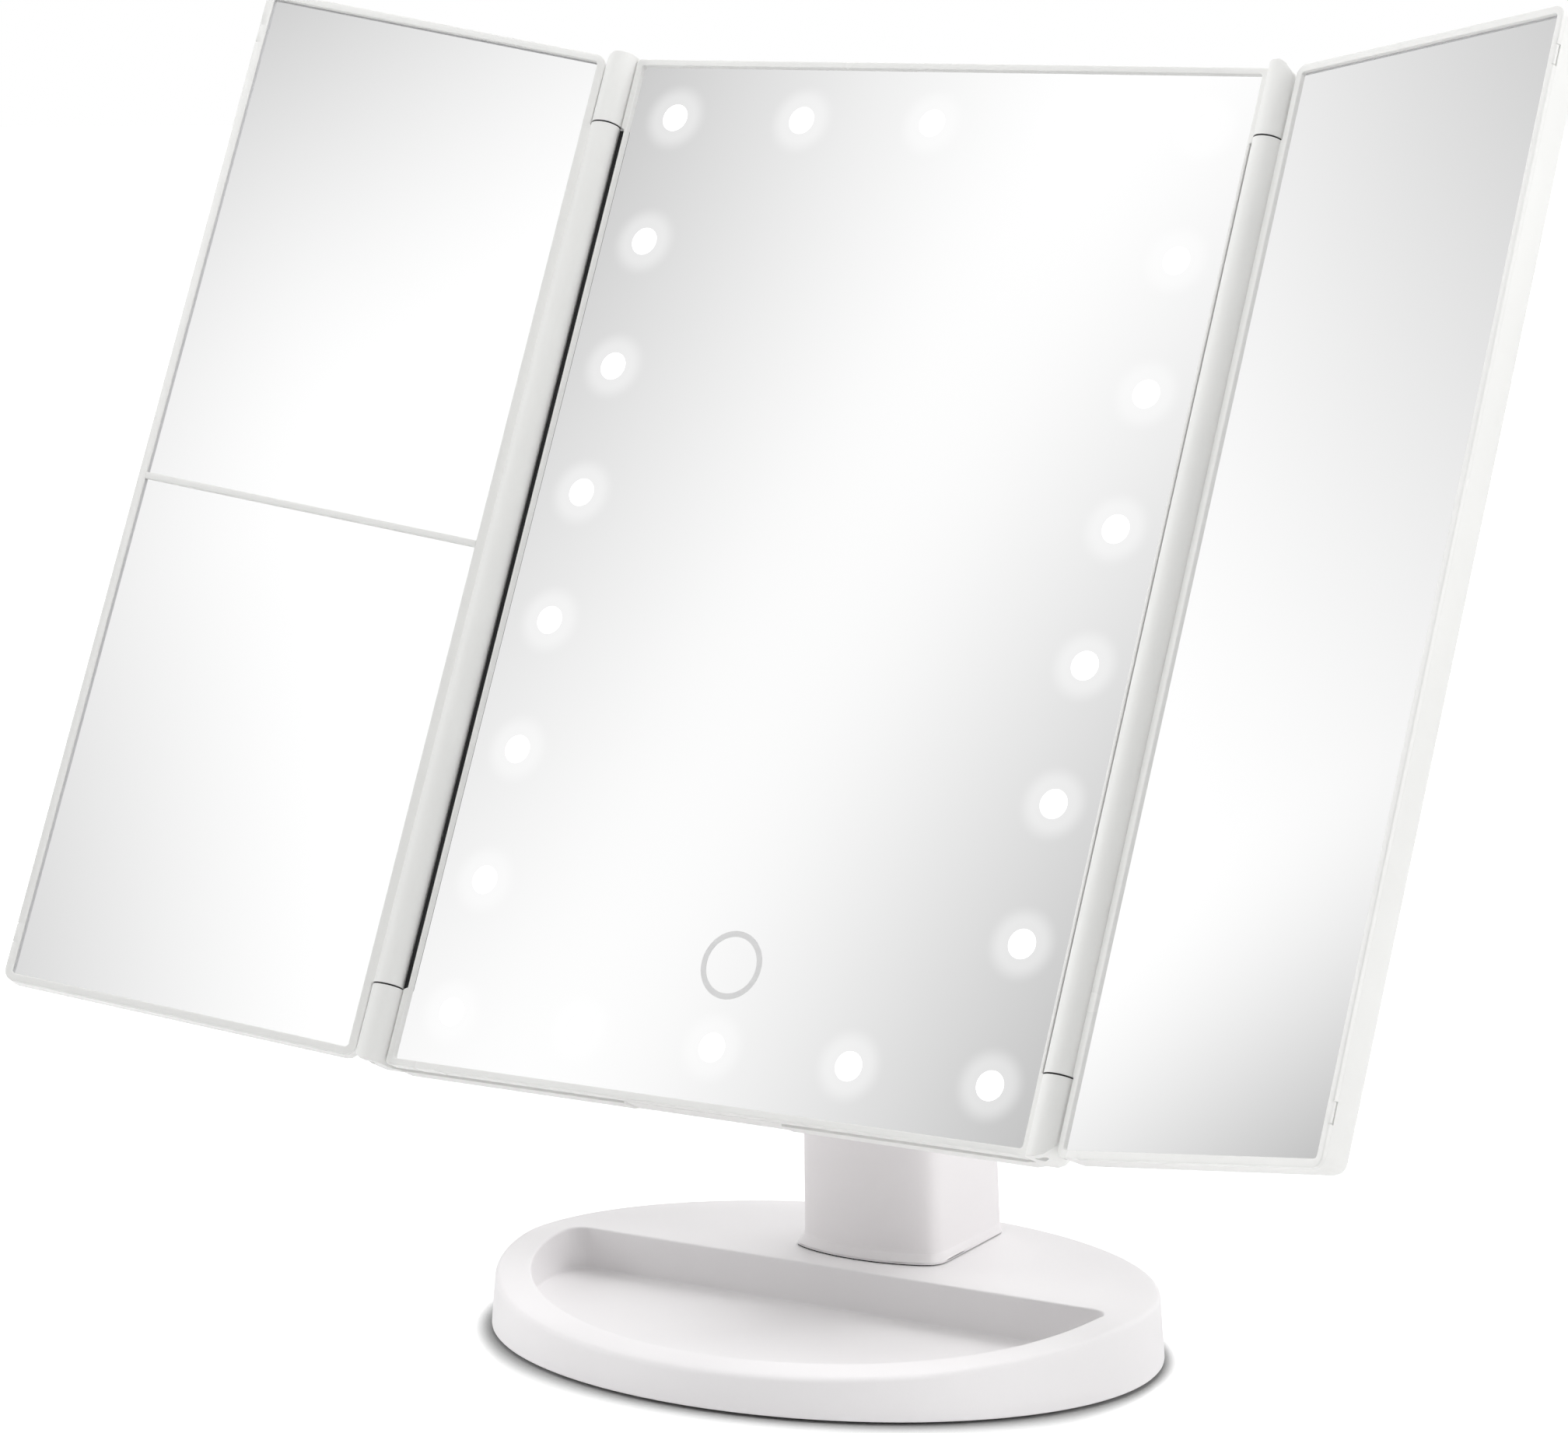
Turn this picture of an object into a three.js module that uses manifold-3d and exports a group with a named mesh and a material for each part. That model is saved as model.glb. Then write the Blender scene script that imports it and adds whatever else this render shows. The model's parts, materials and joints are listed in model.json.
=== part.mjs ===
import * as THREE from "three";
import { mergeVertices } from "three/addons/utils/BufferGeometryUtils.js";
import Module from "manifold-3d";

// All sizes are millimetres. X runs across the mirror, Y from front to back, Z upwards.
const fitGap = 0.3;
const past = 2;

// base
const baseHalfWidth = 78.3;
const baseHalfDepth = 62.0;
const baseDraft = 1.1;
const baseEdge = 0.6;
const baseLow = 0.6;
const baseTop = 15.3;
const baseWall = 2.0;
const baseSides = 64;
const frontFall = [
  [-baseHalfDepth, 8.8],
  [-54, 9.75],
  [-44, 10.8],
  [-32, 12.2],
  [-22, 13.4],
  [-14, 14.4],
  [-7, 15.1],
  [0, baseTop],
];
const trayRim = 8.9;
const trayHalfWidth = baseHalfWidth - trayRim;
const trayHalfDepth = baseHalfDepth - trayRim;
const trayBack = 4.5;
const trayFloor = 5.7;
const trayWall = 1.8;
const trayCorner = 4.0;
const trayFillet = 1.2;
const bottomPlateLow = 0.9;
const bottomPlateThick = 1.6;
const padRadius = 6.5;
const padSeat = 0.5;
const padX = baseHalfWidth - 34.3;
const padY = baseHalfDepth - 24;
const padPlaces = [
  [-padX, -padY],
  [padX, -padY],
  [-padX, padY],
  [padX, padY],
];
const sideScrewX = baseHalfWidth - 14.3;
const rearScrewY = baseHalfDepth - 12;
const baseScrewPlaces = [
  [-sideScrewX, 13],
  [sideScrewX, 13],
  [-24, rearScrewY],
  [24, rearScrewY],
];
const baseBossRadius = 3.2;
const ballastHalfWidth = baseHalfWidth - 24.3;
const ballastFront = 12;
const ballastBack = 30;
const ballastThick = 4.0;

// small screws
const screwShaft = 1.1;
const screwHead = 2.3;
const screwHeadThick = 1.1;
const screwSink = 0.9;

// column
const footHalfWidth = 20.2;
const footCornerY = 19.8;
const footRearHalfWidth = 16.2;
const footFront = 12.25;
const footBack = 54.6;
const footFrontRadius = 31.3;
const footFrontSpan = 16.4;
const footCorner = 5.6;
const footRearCorner = 5.0;
const footMiddle = 33.5;
const footLip = 0.5;
const footFlareTop = 2.2;
const bodyScale = 0.932;
const columnLean = 0.051;
const columnTaper = 0.00065;
const columnWall = 2.0;
const neckTop = 140;
const spigotScale = 0.7;
const lockPlateScale = 0.86;
const lockPlateThick = 2.0;
const neckFloor = 20;
const shelfLow = 31.5;
const shelfTop = 33.2;
const neckScrewX = 9;
const neckScrewY = 30;
const wireHole = 2.4;
const wireY = 41.5;
const shelfWireY = 19.5;
const standoffSpan = [4, 6.5];

// tilt hinge
const tiltAxisY = 13;
const tiltAxisZ = 122.6;
const cavityTop = tiltAxisZ - 14.1;
const rearFall = [
  [57, -28.6],
  [37, -20.6],
  [27, -15.1],
  [17, -7.1],
  [11, -0.6],
];
const roofFall = [
  [47, -13.5],
  [33, -7.5],
  [24, -2.5],
  [20, 0],
];
const knuckleRadius = 9.5;
const knuckleHalf = 13;
const shoulderDrop = 11;
const cheekInner = 14.5;
const cheekOuter = 18.8;
const axleRadius = 2.6;
const axleHeadRadius = 4.4;
const axleHeadThick = 1.3;
const axleSeat = 1.9;
const washerRadius = 6.5;
const bracketHalfWidth = 23;
const bracketBelow = 14;
const bracketAbove = 17;
const bracketThick = 2.4;

// battery door and batteries
const doorHalfWidth = 12.4;
const doorRibs = 4;
const doorRibPitch = 1.8;
const cellRadius = 5.25;
const cellLength = 43.3;
const cellTip = 1.2;
const cellTipRadius = 1.9;
const cellPitch = 11.7;
const holderHalf = 11.9;
const holderY = 32;
const holderEnd = 1.4;
const stripThick = 0.6;
const stripHalf = 10.6;
const stripRoom = stripThick + 2 * fitGap;
const holderLow = shelfTop + fitGap;
const cellLow = holderLow + holderEnd + stripRoom;
const cellHigh = cellLow + cellLength + cellTip;
const holderHigh = cellHigh + stripRoom + holderEnd;
const doorHigh = holderHigh + 5.8;

// controls on the column's rear
const boardThick = 1.2;
const usbHalfWidth = 3.9;
const usbHeight = 2.7;
const usbDepth = 5.4;
const usbZ = 26;
const usbSkin = 0.4;
const switchZ = doorHigh + 6;
const switchTravel = 2.0;
const knobWidth = 4.0;
const knobHeight = 2.6;
const knobProud = 1.0;
const switchBodyHalf = 6.0;
const switchBodyHeight = 6.4;
const switchRailThick = 1.2;
const switchRailHalf = 3;

// head, in its own frame: x across, y up along the glass, z out of the glass
const headTilt = THREE.MathUtils.degToRad(24.78);
const headCentre = [0, -0.32, 169.38];
const openHalfWidth = 79.5;
const openHalfHeight = 117.5;
const glassThick = 2.0;
const bezelFront = 1.6;
const bezelHalfWidth = openHalfWidth + 1.3;
const bezelEndHalfWidth = bezelHalfWidth + 0.3;
const bezelHalfHeight = openHalfHeight + 1.5;
const skirtWall = 0.5;
const shellHalfHeight = bezelHalfHeight + 0.5;
const shellWall = 1.8;
const shellFront = -2.3;
const shellBack = -12.0;
const shellLevels = [
  [shellBack, 6.0],
  [-11.6, 4.0],
  [-10.6, 1.9],
  [-9.0, 0.6],
  [-7.0, 0],
];
const shellCorner = 1.6;
const notchHalfWidth = 20;
const notchDepth = 0.5;
const ribHalf = 0.7;
const postHalf = 2.2;
const diffuserThick = 0.8;
const lampColumns = 5;
const lampRows = 8;
const lampReachX = openHalfWidth - 11.44;
const lampReachY = openHalfHeight - 12.115;
const lampPitchX = (2 * lampReachX) / (lampColumns - 1);
const lampPitchY = (2 * lampReachY) / (lampRows - 1);
const lampWindow = 3.3;
const windowDepth = 0.4;
const boardRail = 10;
const ledSize = [3.5, 2.8, 0.9];
const touchRise = 30.2;
const touchY = touchRise - openHalfHeight;
const touchOuter = 7.9;
const touchInner = 6.5;
const touchPadRadius = 8.0;
const controlHalf = 24;
const controlSpan = [-8, 26];

// wing hinges
const hingeX = bezelHalfWidth + 4.0;
const hingeZ = 2.2;
const barrelRadius = 3.4;
const knuckleLength = 17;
const knuckleEnd = shellHalfHeight - 0.2;
const knuckleLow = knuckleEnd - knuckleLength;
const barrelHalf = knuckleLow - 0.4;
const knuckleRound = [
  [0.2, 0],
  [1.7, 0.7],
  [2.7, 2.0],
  [3.2, 3.4],
  [3.4, 4.7],
];
const knuckleBlockHalf = 2.7;
const knuckleBack = -5;
const pinRadius = 1.1;
const pinReach = 8;
const pinRecess = 2.6;

// wings, each in its own frame: x away from the hinge axis, y along it, z out of the glass
const leftFold = THREE.MathUtils.degToRad(26.3);
const rightFold = THREE.MathUtils.degToRad(23.7);
const wingInner = 3.75;
const wingOuter = hingeX - fitGap;
const wingOpenInner = wingInner + 1.85;
const wingOpenOuter = wingOuter - 1.7;
const wingHalfHeight = shellHalfHeight - 0.7;
const wingOpenHalf = wingHalfHeight - 1.8;
const wingFace = -0.35;
const wingBezelThick = 0.8;
const wingBack = -7.65;
const wingBackSkin = 1.4;
const wingWall = 1.15;
const wingCorner = 2.5;
const wingRail = 1.5;
const snapY = wingHalfHeight - 10.8;
const snapLength = 5.0;
const snapHeight = 1.4;
const snapDrop = 1.1;

const shellWhite = 0xf1f0ee;
const frameWhite = 0xf5f4f2;
const silver = 0xdfe3e6;
const steel = 0xb9bcc0;
const padGrey = 0xd8d6d2;
const boardGreen = 0x2f6b4a;
const holderBlack = 0x2b2b2e;

const wasm = await Module();
wasm.setup();

function solid(geometry) {
  const bare = new THREE.BufferGeometry();
  const flat = geometry.index ? geometry.toNonIndexed() : geometry;
  bare.setAttribute("position", flat.getAttribute("position"));
  const merged = mergeVertices(bare, 1e-4);
  const vertProperties = merged.attributes.position.array;
  const triVerts = new Uint32Array(merged.index.array);
  return new wasm.Manifold(new wasm.Mesh({ numProp: 3, vertProperties, triVerts }));
}

function geometryOf(made) {
  const mesh = made.getMesh();
  const geometry = new THREE.BufferGeometry();
  const points = new Float32Array(mesh.numVert * 3);
  for (let i = 0; i < mesh.numVert; i++) {
    const start = i * mesh.numProp;
    points.set(mesh.vertProperties.subarray(start, start + 3), i * 3);
  }
  geometry.setAttribute("position", new THREE.BufferAttribute(points, 3));
  geometry.setIndex(new THREE.BufferAttribute(new Uint32Array(mesh.triVerts), 1));
  geometry.computeVertexNormals();
  return geometry;
}

function join(first, ...others) {
  return others.reduce((made, other) => made.add(other), first);
}

function cut(first, ...others) {
  return others.reduce((made, other) => made.subtract(other), first);
}

function part(group, name, made, color, roughness, metalness = 0) {
  const material = new THREE.MeshStandardMaterial({ color, roughness, metalness });
  const mesh = new THREE.Mesh(geometryOf(made), material);
  mesh.name = name;
  group.add(mesh);
}

function block(x0, x1, y0, y1, z0, z1) {
  const geometry = new THREE.BoxGeometry(Math.abs(x1 - x0), Math.abs(y1 - y0), Math.abs(z1 - z0));
  geometry.translate((x0 + x1) / 2, (y0 + y1) / 2, (z0 + z1) / 2);
  return solid(geometry);
}

// A rod along an axis between two coordinates, centred on the other two.
function rod(axis, from, to, a, b, radius, sides = 24) {
  const geometry = new THREE.CylinderGeometry(radius, radius, Math.abs(to - from), sides);
  const middle = (from + to) / 2;
  if (axis === "x") {
    geometry.rotateZ(Math.PI / 2);
    geometry.translate(middle, a, b);
  } else if (axis === "y") {
    geometry.translate(a, middle, b);
  } else {
    geometry.rotateX(Math.PI / 2);
    geometry.translate(a, b, middle);
  }
  return solid(geometry);
}

function slab(points, low, high) {
  const shape = new THREE.Shape(points.map(([x, y]) => new THREE.Vector2(x, y)));
  const geometry = new THREE.ExtrudeGeometry(shape, { depth: high - low, bevelEnabled: false });
  geometry.translate(0, 0, low);
  return solid(geometry);
}

// A side profile of (y, z) points pushed across X.
function profileAcross(points, x0, x1) {
  const shape = new THREE.Shape(points.map(([y, z]) => new THREE.Vector2(y, z)));
  const geometry = new THREE.ExtrudeGeometry(shape, { depth: x1 - x0, bevelEnabled: false });
  const alongY = new THREE.Vector3(0, 1, 0);
  const alongZ = new THREE.Vector3(0, 0, 1);
  const alongX = new THREE.Vector3(1, 0, 0);
  geometry.applyMatrix4(new THREE.Matrix4().makeBasis(alongY, alongZ, alongX));
  geometry.translate(x0, 0, 0);
  return solid(geometry);
}

// A closed skin through convex rings of equal point count, capped flat at both ends.
function loft(rings) {
  const count = rings[0].length;
  const faces = [];
  for (let level = 0; level + 1 < rings.length; level++) {
    for (let i = 0; i < count; i++) {
      const a = level * count + i;
      const b = level * count + ((i + 1) % count);
      faces.push(a, b, b + count, a, b + count, a + count);
    }
  }
  const last = (rings.length - 1) * count;
  for (let i = 1; i + 1 < count; i++) {
    faces.push(0, i + 1, i, last, last + i, last + i + 1);
  }
  const geometry = new THREE.BufferGeometry();
  geometry.setAttribute("position", new THREE.Float32BufferAttribute(rings.flat(2), 3));
  geometry.setIndex(faces);
  return solid(geometry);
}

function atHeight(points, z) {
  return points.map(([x, y]) => [x, y, z]);
}

// Each corner is [x, y, radius]; a corner without a radius stays sharp.
function filleted(corners, steps) {
  const points = [];
  corners.forEach(([x, y, radius], i) => {
    if (!radius) {
      points.push([x, y]);
      return;
    }
    const before = corners[(i + corners.length - 1) % corners.length];
    const after = corners[(i + 1) % corners.length];
    const here = new THREE.Vector2(x, y);
    const inward = new THREE.Vector2(before[0], before[1]).sub(here).normalize();
    const onward = new THREE.Vector2(after[0], after[1]).sub(here).normalize();
    const halfAngle = Math.acos(inward.dot(onward)) / 2;
    const centre = inward.clone().add(onward).normalize();
    centre.multiplyScalar(radius / Math.sin(halfAngle)).add(here);
    const reach = radius / Math.tan(halfAngle);
    const start = here.clone().addScaledVector(inward, reach).sub(centre);
    const end = here.clone().addScaledVector(onward, reach).sub(centre);
    const turn = Math.atan2(start.cross(end), start.dot(end));
    for (let step = 0; step <= steps; step++) {
      const spot = start.clone().rotateAround(new THREE.Vector2(), (turn * step) / steps);
      points.push([spot.x + centre.x, spot.y + centre.y]);
    }
  });
  return points;
}

function rectangle(x0, x1, y0, y1, radius, steps = 4) {
  const corners = [
    [x0, y0, radius],
    [x1, y0, radius],
    [x1, y1, radius],
    [x0, y1, radius],
  ];
  return filleted(corners, steps);
}

function plate(x0, x1, y0, y1, radius, z0, z1, steps = 4) {
  const points = rectangle(x0, x1, y0, y1, radius, steps);
  return loft([atHeight(points, z0), atHeight(points, z1)]);
}

// A shallow tub whose edge draws in towards the back; each level is [z, inset].
function tub(x0, x1, halfHeight, corner, levels, front) {
  const ring = (z, inset) => {
    const radius = Math.max(corner - inset, 0.5);
    const high = halfHeight - inset;
    return atHeight(rectangle(x0 + inset, x1 - inset, -high, high, radius, 3), z);
  };
  return loft([...levels.map(([z, inset]) => ring(z, inset)), ring(front, 0)]);
}

const root = new THREE.Group();
const stand = new THREE.Group();
const head = new THREE.Group();
root.add(stand, head);

// The base as a tapering oval through levels of [z, extra inset], drawn in by an inset.
function baseOval(inset, levels) {
  const rings = levels.map(([z, extra]) => {
    const draft = (baseDraft * (z - baseLow)) / (baseTop - baseLow);
    const less = inset + draft + extra;
    return Array.from({ length: baseSides }, (_, i) => {
      const turn = (i / baseSides) * Math.PI * 2;
      return [(baseHalfWidth - less) * Math.cos(turn), (baseHalfDepth - less) * Math.sin(turn), z];
    });
  });
  return loft(rings);
}

// Everything that lies deeper than a depth under the base's top surface.
function underTop(depth) {
  const wide = baseHalfWidth + past;
  const far = baseHalfDepth + past;
  const line = frontFall.map(([y, z]) => [y, z - depth]);
  const foreEdge = [-far, frontFall[0][1] - depth];
  const rearEdge = [far, baseTop - depth];
  return profileAcross([[-far, -past], foreEdge, ...line, rearEdge, [far, -past]], -wide, wide);
}

// The tray's outline: an oval with a straight back wall and rounded ends, grown by a wall.
function trayOutline(grow) {
  const wide = trayHalfWidth + grow;
  const deep = trayHalfDepth + grow;
  const radius = trayCorner + grow;
  const centreY = trayBack - trayCorner;
  const innerWide = trayHalfWidth - trayCorner;
  const innerDeep = trayHalfDepth - trayCorner;
  const centreX = innerWide * Math.sqrt(1 - (centreY / innerDeep) ** 2);
  const lean = Math.atan2(centreY / innerDeep ** 2, centreX / innerWide ** 2);
  const rightEnd = [];
  const cornerSteps = 5;
  for (let i = 0; i <= cornerSteps; i++) {
    const turn = lean + ((Math.PI / 2 - lean) * i) / cornerSteps;
    rightEnd.push([centreX + radius * Math.cos(turn), centreY + radius * Math.sin(turn)]);
  }
  const leftEnd = rightEnd.map(([x, y]) => [-x, y]).reverse();
  const start = Math.atan2(rightEnd[0][1] / deep, rightEnd[0][0] / wide);
  const bow = [];
  const bowSteps = 40;
  for (let i = 1; i < bowSteps; i++) {
    const turn = Math.PI - start + ((Math.PI + 2 * start) * i) / bowSteps;
    bow.push([wide * Math.cos(turn), deep * Math.sin(turn)]);
  }
  return [...rightEnd, ...leftEnd, ...bow];
}

function trayTub(grow, floor, top) {
  return loft([
    atHeight(trayOutline(grow - trayFillet), floor),
    atHeight(trayOutline(grow - trayFillet * 0.3), floor + trayFillet * 0.3),
    atHeight(trayOutline(grow), floor + trayFillet),
    atHeight(trayOutline(grow), top),
  ]);
}

const footOutline = (() => {
  const corners = [];
  const arcSteps = 12;
  for (let i = 0; i <= arcSteps; i++) {
    const x = -footFrontSpan + (2 * footFrontSpan * i) / arcSteps;
    const y = footFront + footFrontRadius - Math.sqrt(footFrontRadius ** 2 - x ** 2);
    corners.push([x, y]);
  }
  corners.push([footHalfWidth, footCornerY, footCorner]);
  corners.push([footRearHalfWidth, footBack, footRearCorner]);
  corners.push([-footRearHalfWidth, footBack, footRearCorner]);
  corners.push([-footHalfWidth, footCornerY, footCorner]);
  return filleted(corners, 6);
})();

// The column's scale against its foot, and its lean forward, at a height.
function columnAt(z) {
  const above = Math.max(z - baseTop - footFlareTop, 0);
  return { size: bodyScale - columnTaper * above, lean: -columnLean * above };
}

function columnRing(z, grow = 0, scale = columnAt(z).size) {
  const sizeX = scale + grow / footHalfWidth;
  const sizeY = scale + grow / (footBack - footMiddle);
  const { lean } = columnAt(z);
  return footOutline.map(([x, y]) => [x * sizeX, footMiddle + (y - footMiddle) * sizeY + lean, z]);
}

function columnPiece(grow, low, high, scale) {
  return loft([columnRing(low, grow, scale), columnRing(high, grow, scale)]);
}

// The y of the column's rear face at a height.
function rearOf(z) {
  const { size, lean } = columnAt(z);
  return footMiddle + (footBack - footMiddle) * size + lean;
}

const plateTop = bottomPlateLow + bottomPlateThick;
const bossLow = plateTop + fitGap;
const spigotLow = baseTop - baseWall;
const lockTop = spigotLow - fitGap;
const lockLow = lockTop - lockPlateThick;
const footSeat = baseTop + fitGap;

function buildBaseShell() {
  const outer = baseOval(0, [
    [baseLow, baseEdge],
    [baseLow + baseEdge, 0],
    [baseTop + past, 0],
  ]).intersect(underTop(0));
  const inside = baseOval(baseWall, [
    [baseLow - past, 0],
    [baseTop, 0],
  ]).intersect(underTop(baseWall));
  const trayOutside = trayTub(trayWall, trayFloor - trayWall, baseTop + past);
  let shell = cut(outer, cut(inside, trayOutside));
  for (const [x, y] of baseScrewPlaces) {
    shell = join(shell, rod("z", bossLow, baseTop - 1, x, y, baseBossRadius, 16));
    shell = cut(shell, rod("z", bossLow - 1, bossLow + 6, x, y, screwShaft + fitGap, 12));
  }
  const tray = trayTub(0, trayFloor, baseTop + past);
  const columnHole = columnPiece(fitGap, spigotLow - past, baseTop + past, spigotScale);
  shell = cut(shell, tray, columnHole);
  part(stand, "base_shell", shell, shellWhite, 0.55);
}

function buildBottomPlate() {
  const levels = [
    [bottomPlateLow, 0],
    [plateTop, 0],
  ];
  let made = baseOval(baseWall + fitGap, levels);
  for (const [x, y] of padPlaces) {
    made = cut(made, rod("z", bottomPlateLow - 1, bottomPlateLow + padSeat, x, y, padRadius + fitGap));
  }
  const sink = bottomPlateLow + screwSink;
  for (const [x, y] of baseScrewPlaces) {
    made = cut(made, rod("z", bottomPlateLow - 1, plateTop + 1, x, y, screwShaft + fitGap, 12));
    made = cut(made, rod("z", bottomPlateLow - 1, sink, x, y, screwHead + fitGap, 16));
  }
  part(stand, "base_bottom_plate", made, shellWhite, 0.6);
}

// A screw driven from below: its head under a seat, its shaft up into a boss.
function screwFromBelow(x, y, seat, tip) {
  const top = seat - fitGap;
  return join(
    rod("z", top - screwHeadThick, top, x, y, screwHead, 16),
    rod("z", top - 0.2, tip, x, y, screwShaft, 12),
  );
}

function buildBaseFittings() {
  padPlaces.forEach(([x, y], i) => {
    const pad = rod("z", 0, bottomPlateLow + padSeat - fitGap, x, y, padRadius);
    part(stand, "foot_pad_" + (i + 1), pad, padGrey, 0.9);
  });
  baseScrewPlaces.forEach(([x, y], i) => {
    const screw = screwFromBelow(x, y, bottomPlateLow + screwSink, bossLow + 5.6);
    part(stand, "base_screw_" + (i + 1), screw, steel, 0.35, 1);
  });
  const ballast = plate(
    -ballastHalfWidth,
    ballastHalfWidth,
    ballastFront,
    ballastBack,
    4,
    bossLow,
    bossLow + ballastThick,
  );
  part(stand, "ballast_plate", ballast, 0x6d7075, 0.6, 1);
}

// The column seen from the side: a round nose about the tilt axis, falling away to the rear.
function neckSide() {
  const nose = [];
  const steps = 14;
  const from = THREE.MathUtils.degToRad(55);
  for (let i = 0; i <= steps; i++) {
    const turn = from + ((Math.PI - from) * i) / steps;
    nose.push([tiltAxisY + knuckleRadius * Math.cos(turn), tiltAxisZ + knuckleRadius * Math.sin(turn)]);
  }
  const rear = rearFall.map(([y, z]) => [tiltAxisY + y, tiltAxisZ + z]);
  const foot = [rear[0][0], 0];
  const wide = footHalfWidth + past;
  return profileAcross([[-past, 0], foot, ...rear, ...nose, [-past, tiltAxisZ]], -wide, wide);
}

function neckHollow() {
  const below = columnPiece(-columnWall, neckFloor, shelfLow);
  const above = columnPiece(-columnWall, shelfTop, cavityTop);
  const roof = roofFall.map(([y, z]) => [tiltAxisY + y, cavityTop + z]);
  const foot = [roof[0][0], 0];
  const wide = footHalfWidth + past;
  const side = profileAcross([[-past, 0], foot, ...roof, [-past, cavityTop]], -wide, wide);
  return join(below, above.intersect(side));
}

// What the column's inside carries: stand-offs under the board and rails beside the switch.
function neckInside() {
  const boardSeat = usbZ - usbHeight / 2 - 2 * fitGap - boardThick;
  const rear = rearOf(usbZ) - columnWall;
  const switchRear = rearOf(switchZ) - columnWall;
  const [inner, outer] = standoffSpan;
  const low = switchZ - switchRailHalf;
  const high = switchZ + switchRailHalf;
  const made = [];
  for (const side of [-1, 1]) {
    made.push(block(side * inner, side * outer, rear - 13, rear - 5, neckFloor - 1, boardSeat));
    const near = side * (switchBodyHalf + fitGap);
    const far = near + side * switchRailThick;
    made.push(block(near, far, switchRear - 6, switchRear + 1, low, high));
  }
  return made;
}

function neckOpenings() {
  const screwHole = screwShaft + fitGap;
  const behind = footBack + past;
  const made = [
    block(-doorHalfWidth, doorHalfWidth, footMiddle + 4, behind, shelfTop, doorHigh),
    rod("z", spigotLow - 1, neckFloor + 1, 0, wireY, wireHole, 16),
    rod("z", shelfLow - 1, shelfTop + 1, 0, shelfWireY, wireHole, 16),
    rod("z", cavityTop - 2, tiltAxisZ + knuckleRadius + 1, 0, tiltAxisY + 7, 1.6, 12),
  ];
  for (const x of [-neckScrewX, neckScrewX]) {
    made.push(rod("z", spigotLow - 1, neckFloor - 1.5, x, neckScrewY, screwHole, 12));
  }
  const usbHalf = usbHalfWidth + fitGap;
  const usbRise = usbHeight / 2 + fitGap;
  made.push(block(-usbHalf, usbHalf, rearOf(usbZ) - 4, behind, usbZ - usbRise, usbZ + usbRise));
  const slotHalf = (knobWidth + switchTravel) / 2 + fitGap;
  const slotRise = knobHeight / 2 + fitGap;
  made.push(block(-slotHalf, slotHalf, rearOf(switchZ) - 4, behind, switchZ - slotRise, switchZ + slotRise));
  return made;
}

function buildNeck() {
  const rings = [
    columnRing(footSeat, 0, 1),
    columnRing(footSeat + footLip, 0, 1),
    columnRing(footSeat + footLip + 0.45, 0, 0.963),
    columnRing(baseTop + footFlareTop, 0, 0.941),
    columnRing(baseTop + footFlareTop + 1.2, 0, 0.933),
    columnRing(neckTop),
  ];
  let neck = loft(rings).intersect(neckSide());
  const shoulder = tiltAxisZ - shoulderDrop;
  const wide = footHalfWidth + past;
  const behind = footBack + past;
  for (const side of [-1, 1]) {
    neck = cut(neck, block(side * knuckleHalf, side * wide, -past, behind, shoulder, neckTop + past));
  }
  neck = join(neck, rod("x", -knuckleHalf, knuckleHalf, tiltAxisY, tiltAxisZ, knuckleRadius, 32));
  neck = join(neck, columnPiece(0, spigotLow, footSeat + 0.5, spigotScale));
  neck = join(cut(neck, neckHollow()), ...neckInside());
  neck = cut(neck, rod("x", -wide, wide, tiltAxisY, tiltAxisZ, axleRadius + fitGap));
  neck = cut(neck, ...neckOpenings());
  part(stand, "neck_shell", neck, shellWhite, 0.5);
}

function buildNeckFastening() {
  let lock = columnPiece(0, lockLow, lockTop, lockPlateScale);
  for (const x of [-neckScrewX, neckScrewX]) {
    lock = cut(lock, rod("z", lockLow - 1, lockTop + 1, x, neckScrewY, screwShaft + fitGap, 12));
  }
  lock = cut(lock, rod("z", lockLow - 1, lockTop + 1, 0, wireY, wireHole, 16));
  part(stand, "neck_lock_plate", lock, 0xe4e2de, 0.6);
  [-neckScrewX, neckScrewX].forEach((x, i) => {
    const screw = screwFromBelow(x, neckScrewY, lockLow, neckFloor - 1.9);
    part(stand, "neck_screw_" + (i + 1), screw, steel, 0.35, 1);
  });
}

// The door is the column's own rear skin, with thumb ribs near its top.
function buildDoor() {
  const low = shelfTop + fitGap;
  const high = doorHigh - fitGap;
  const half = doorHalfWidth - fitGap;
  const inner = columnPiece(-columnWall + fitGap, low - past, high + past);
  const skin = cut(columnPiece(0, low, high), inner);
  let door = skin.intersect(block(-half, half, footMiddle + 8, footBack + past, low, high));
  for (let i = 0; i < doorRibs; i++) {
    const z = high - 5 - i * doorRibPitch;
    door = join(door, block(-6, 6, rearOf(z) - 1, rearOf(z) + 0.35, z - 0.4, z + 0.4));
  }
  part(stand, "battery_door", door, shellWhite, 0.5);
}

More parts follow.
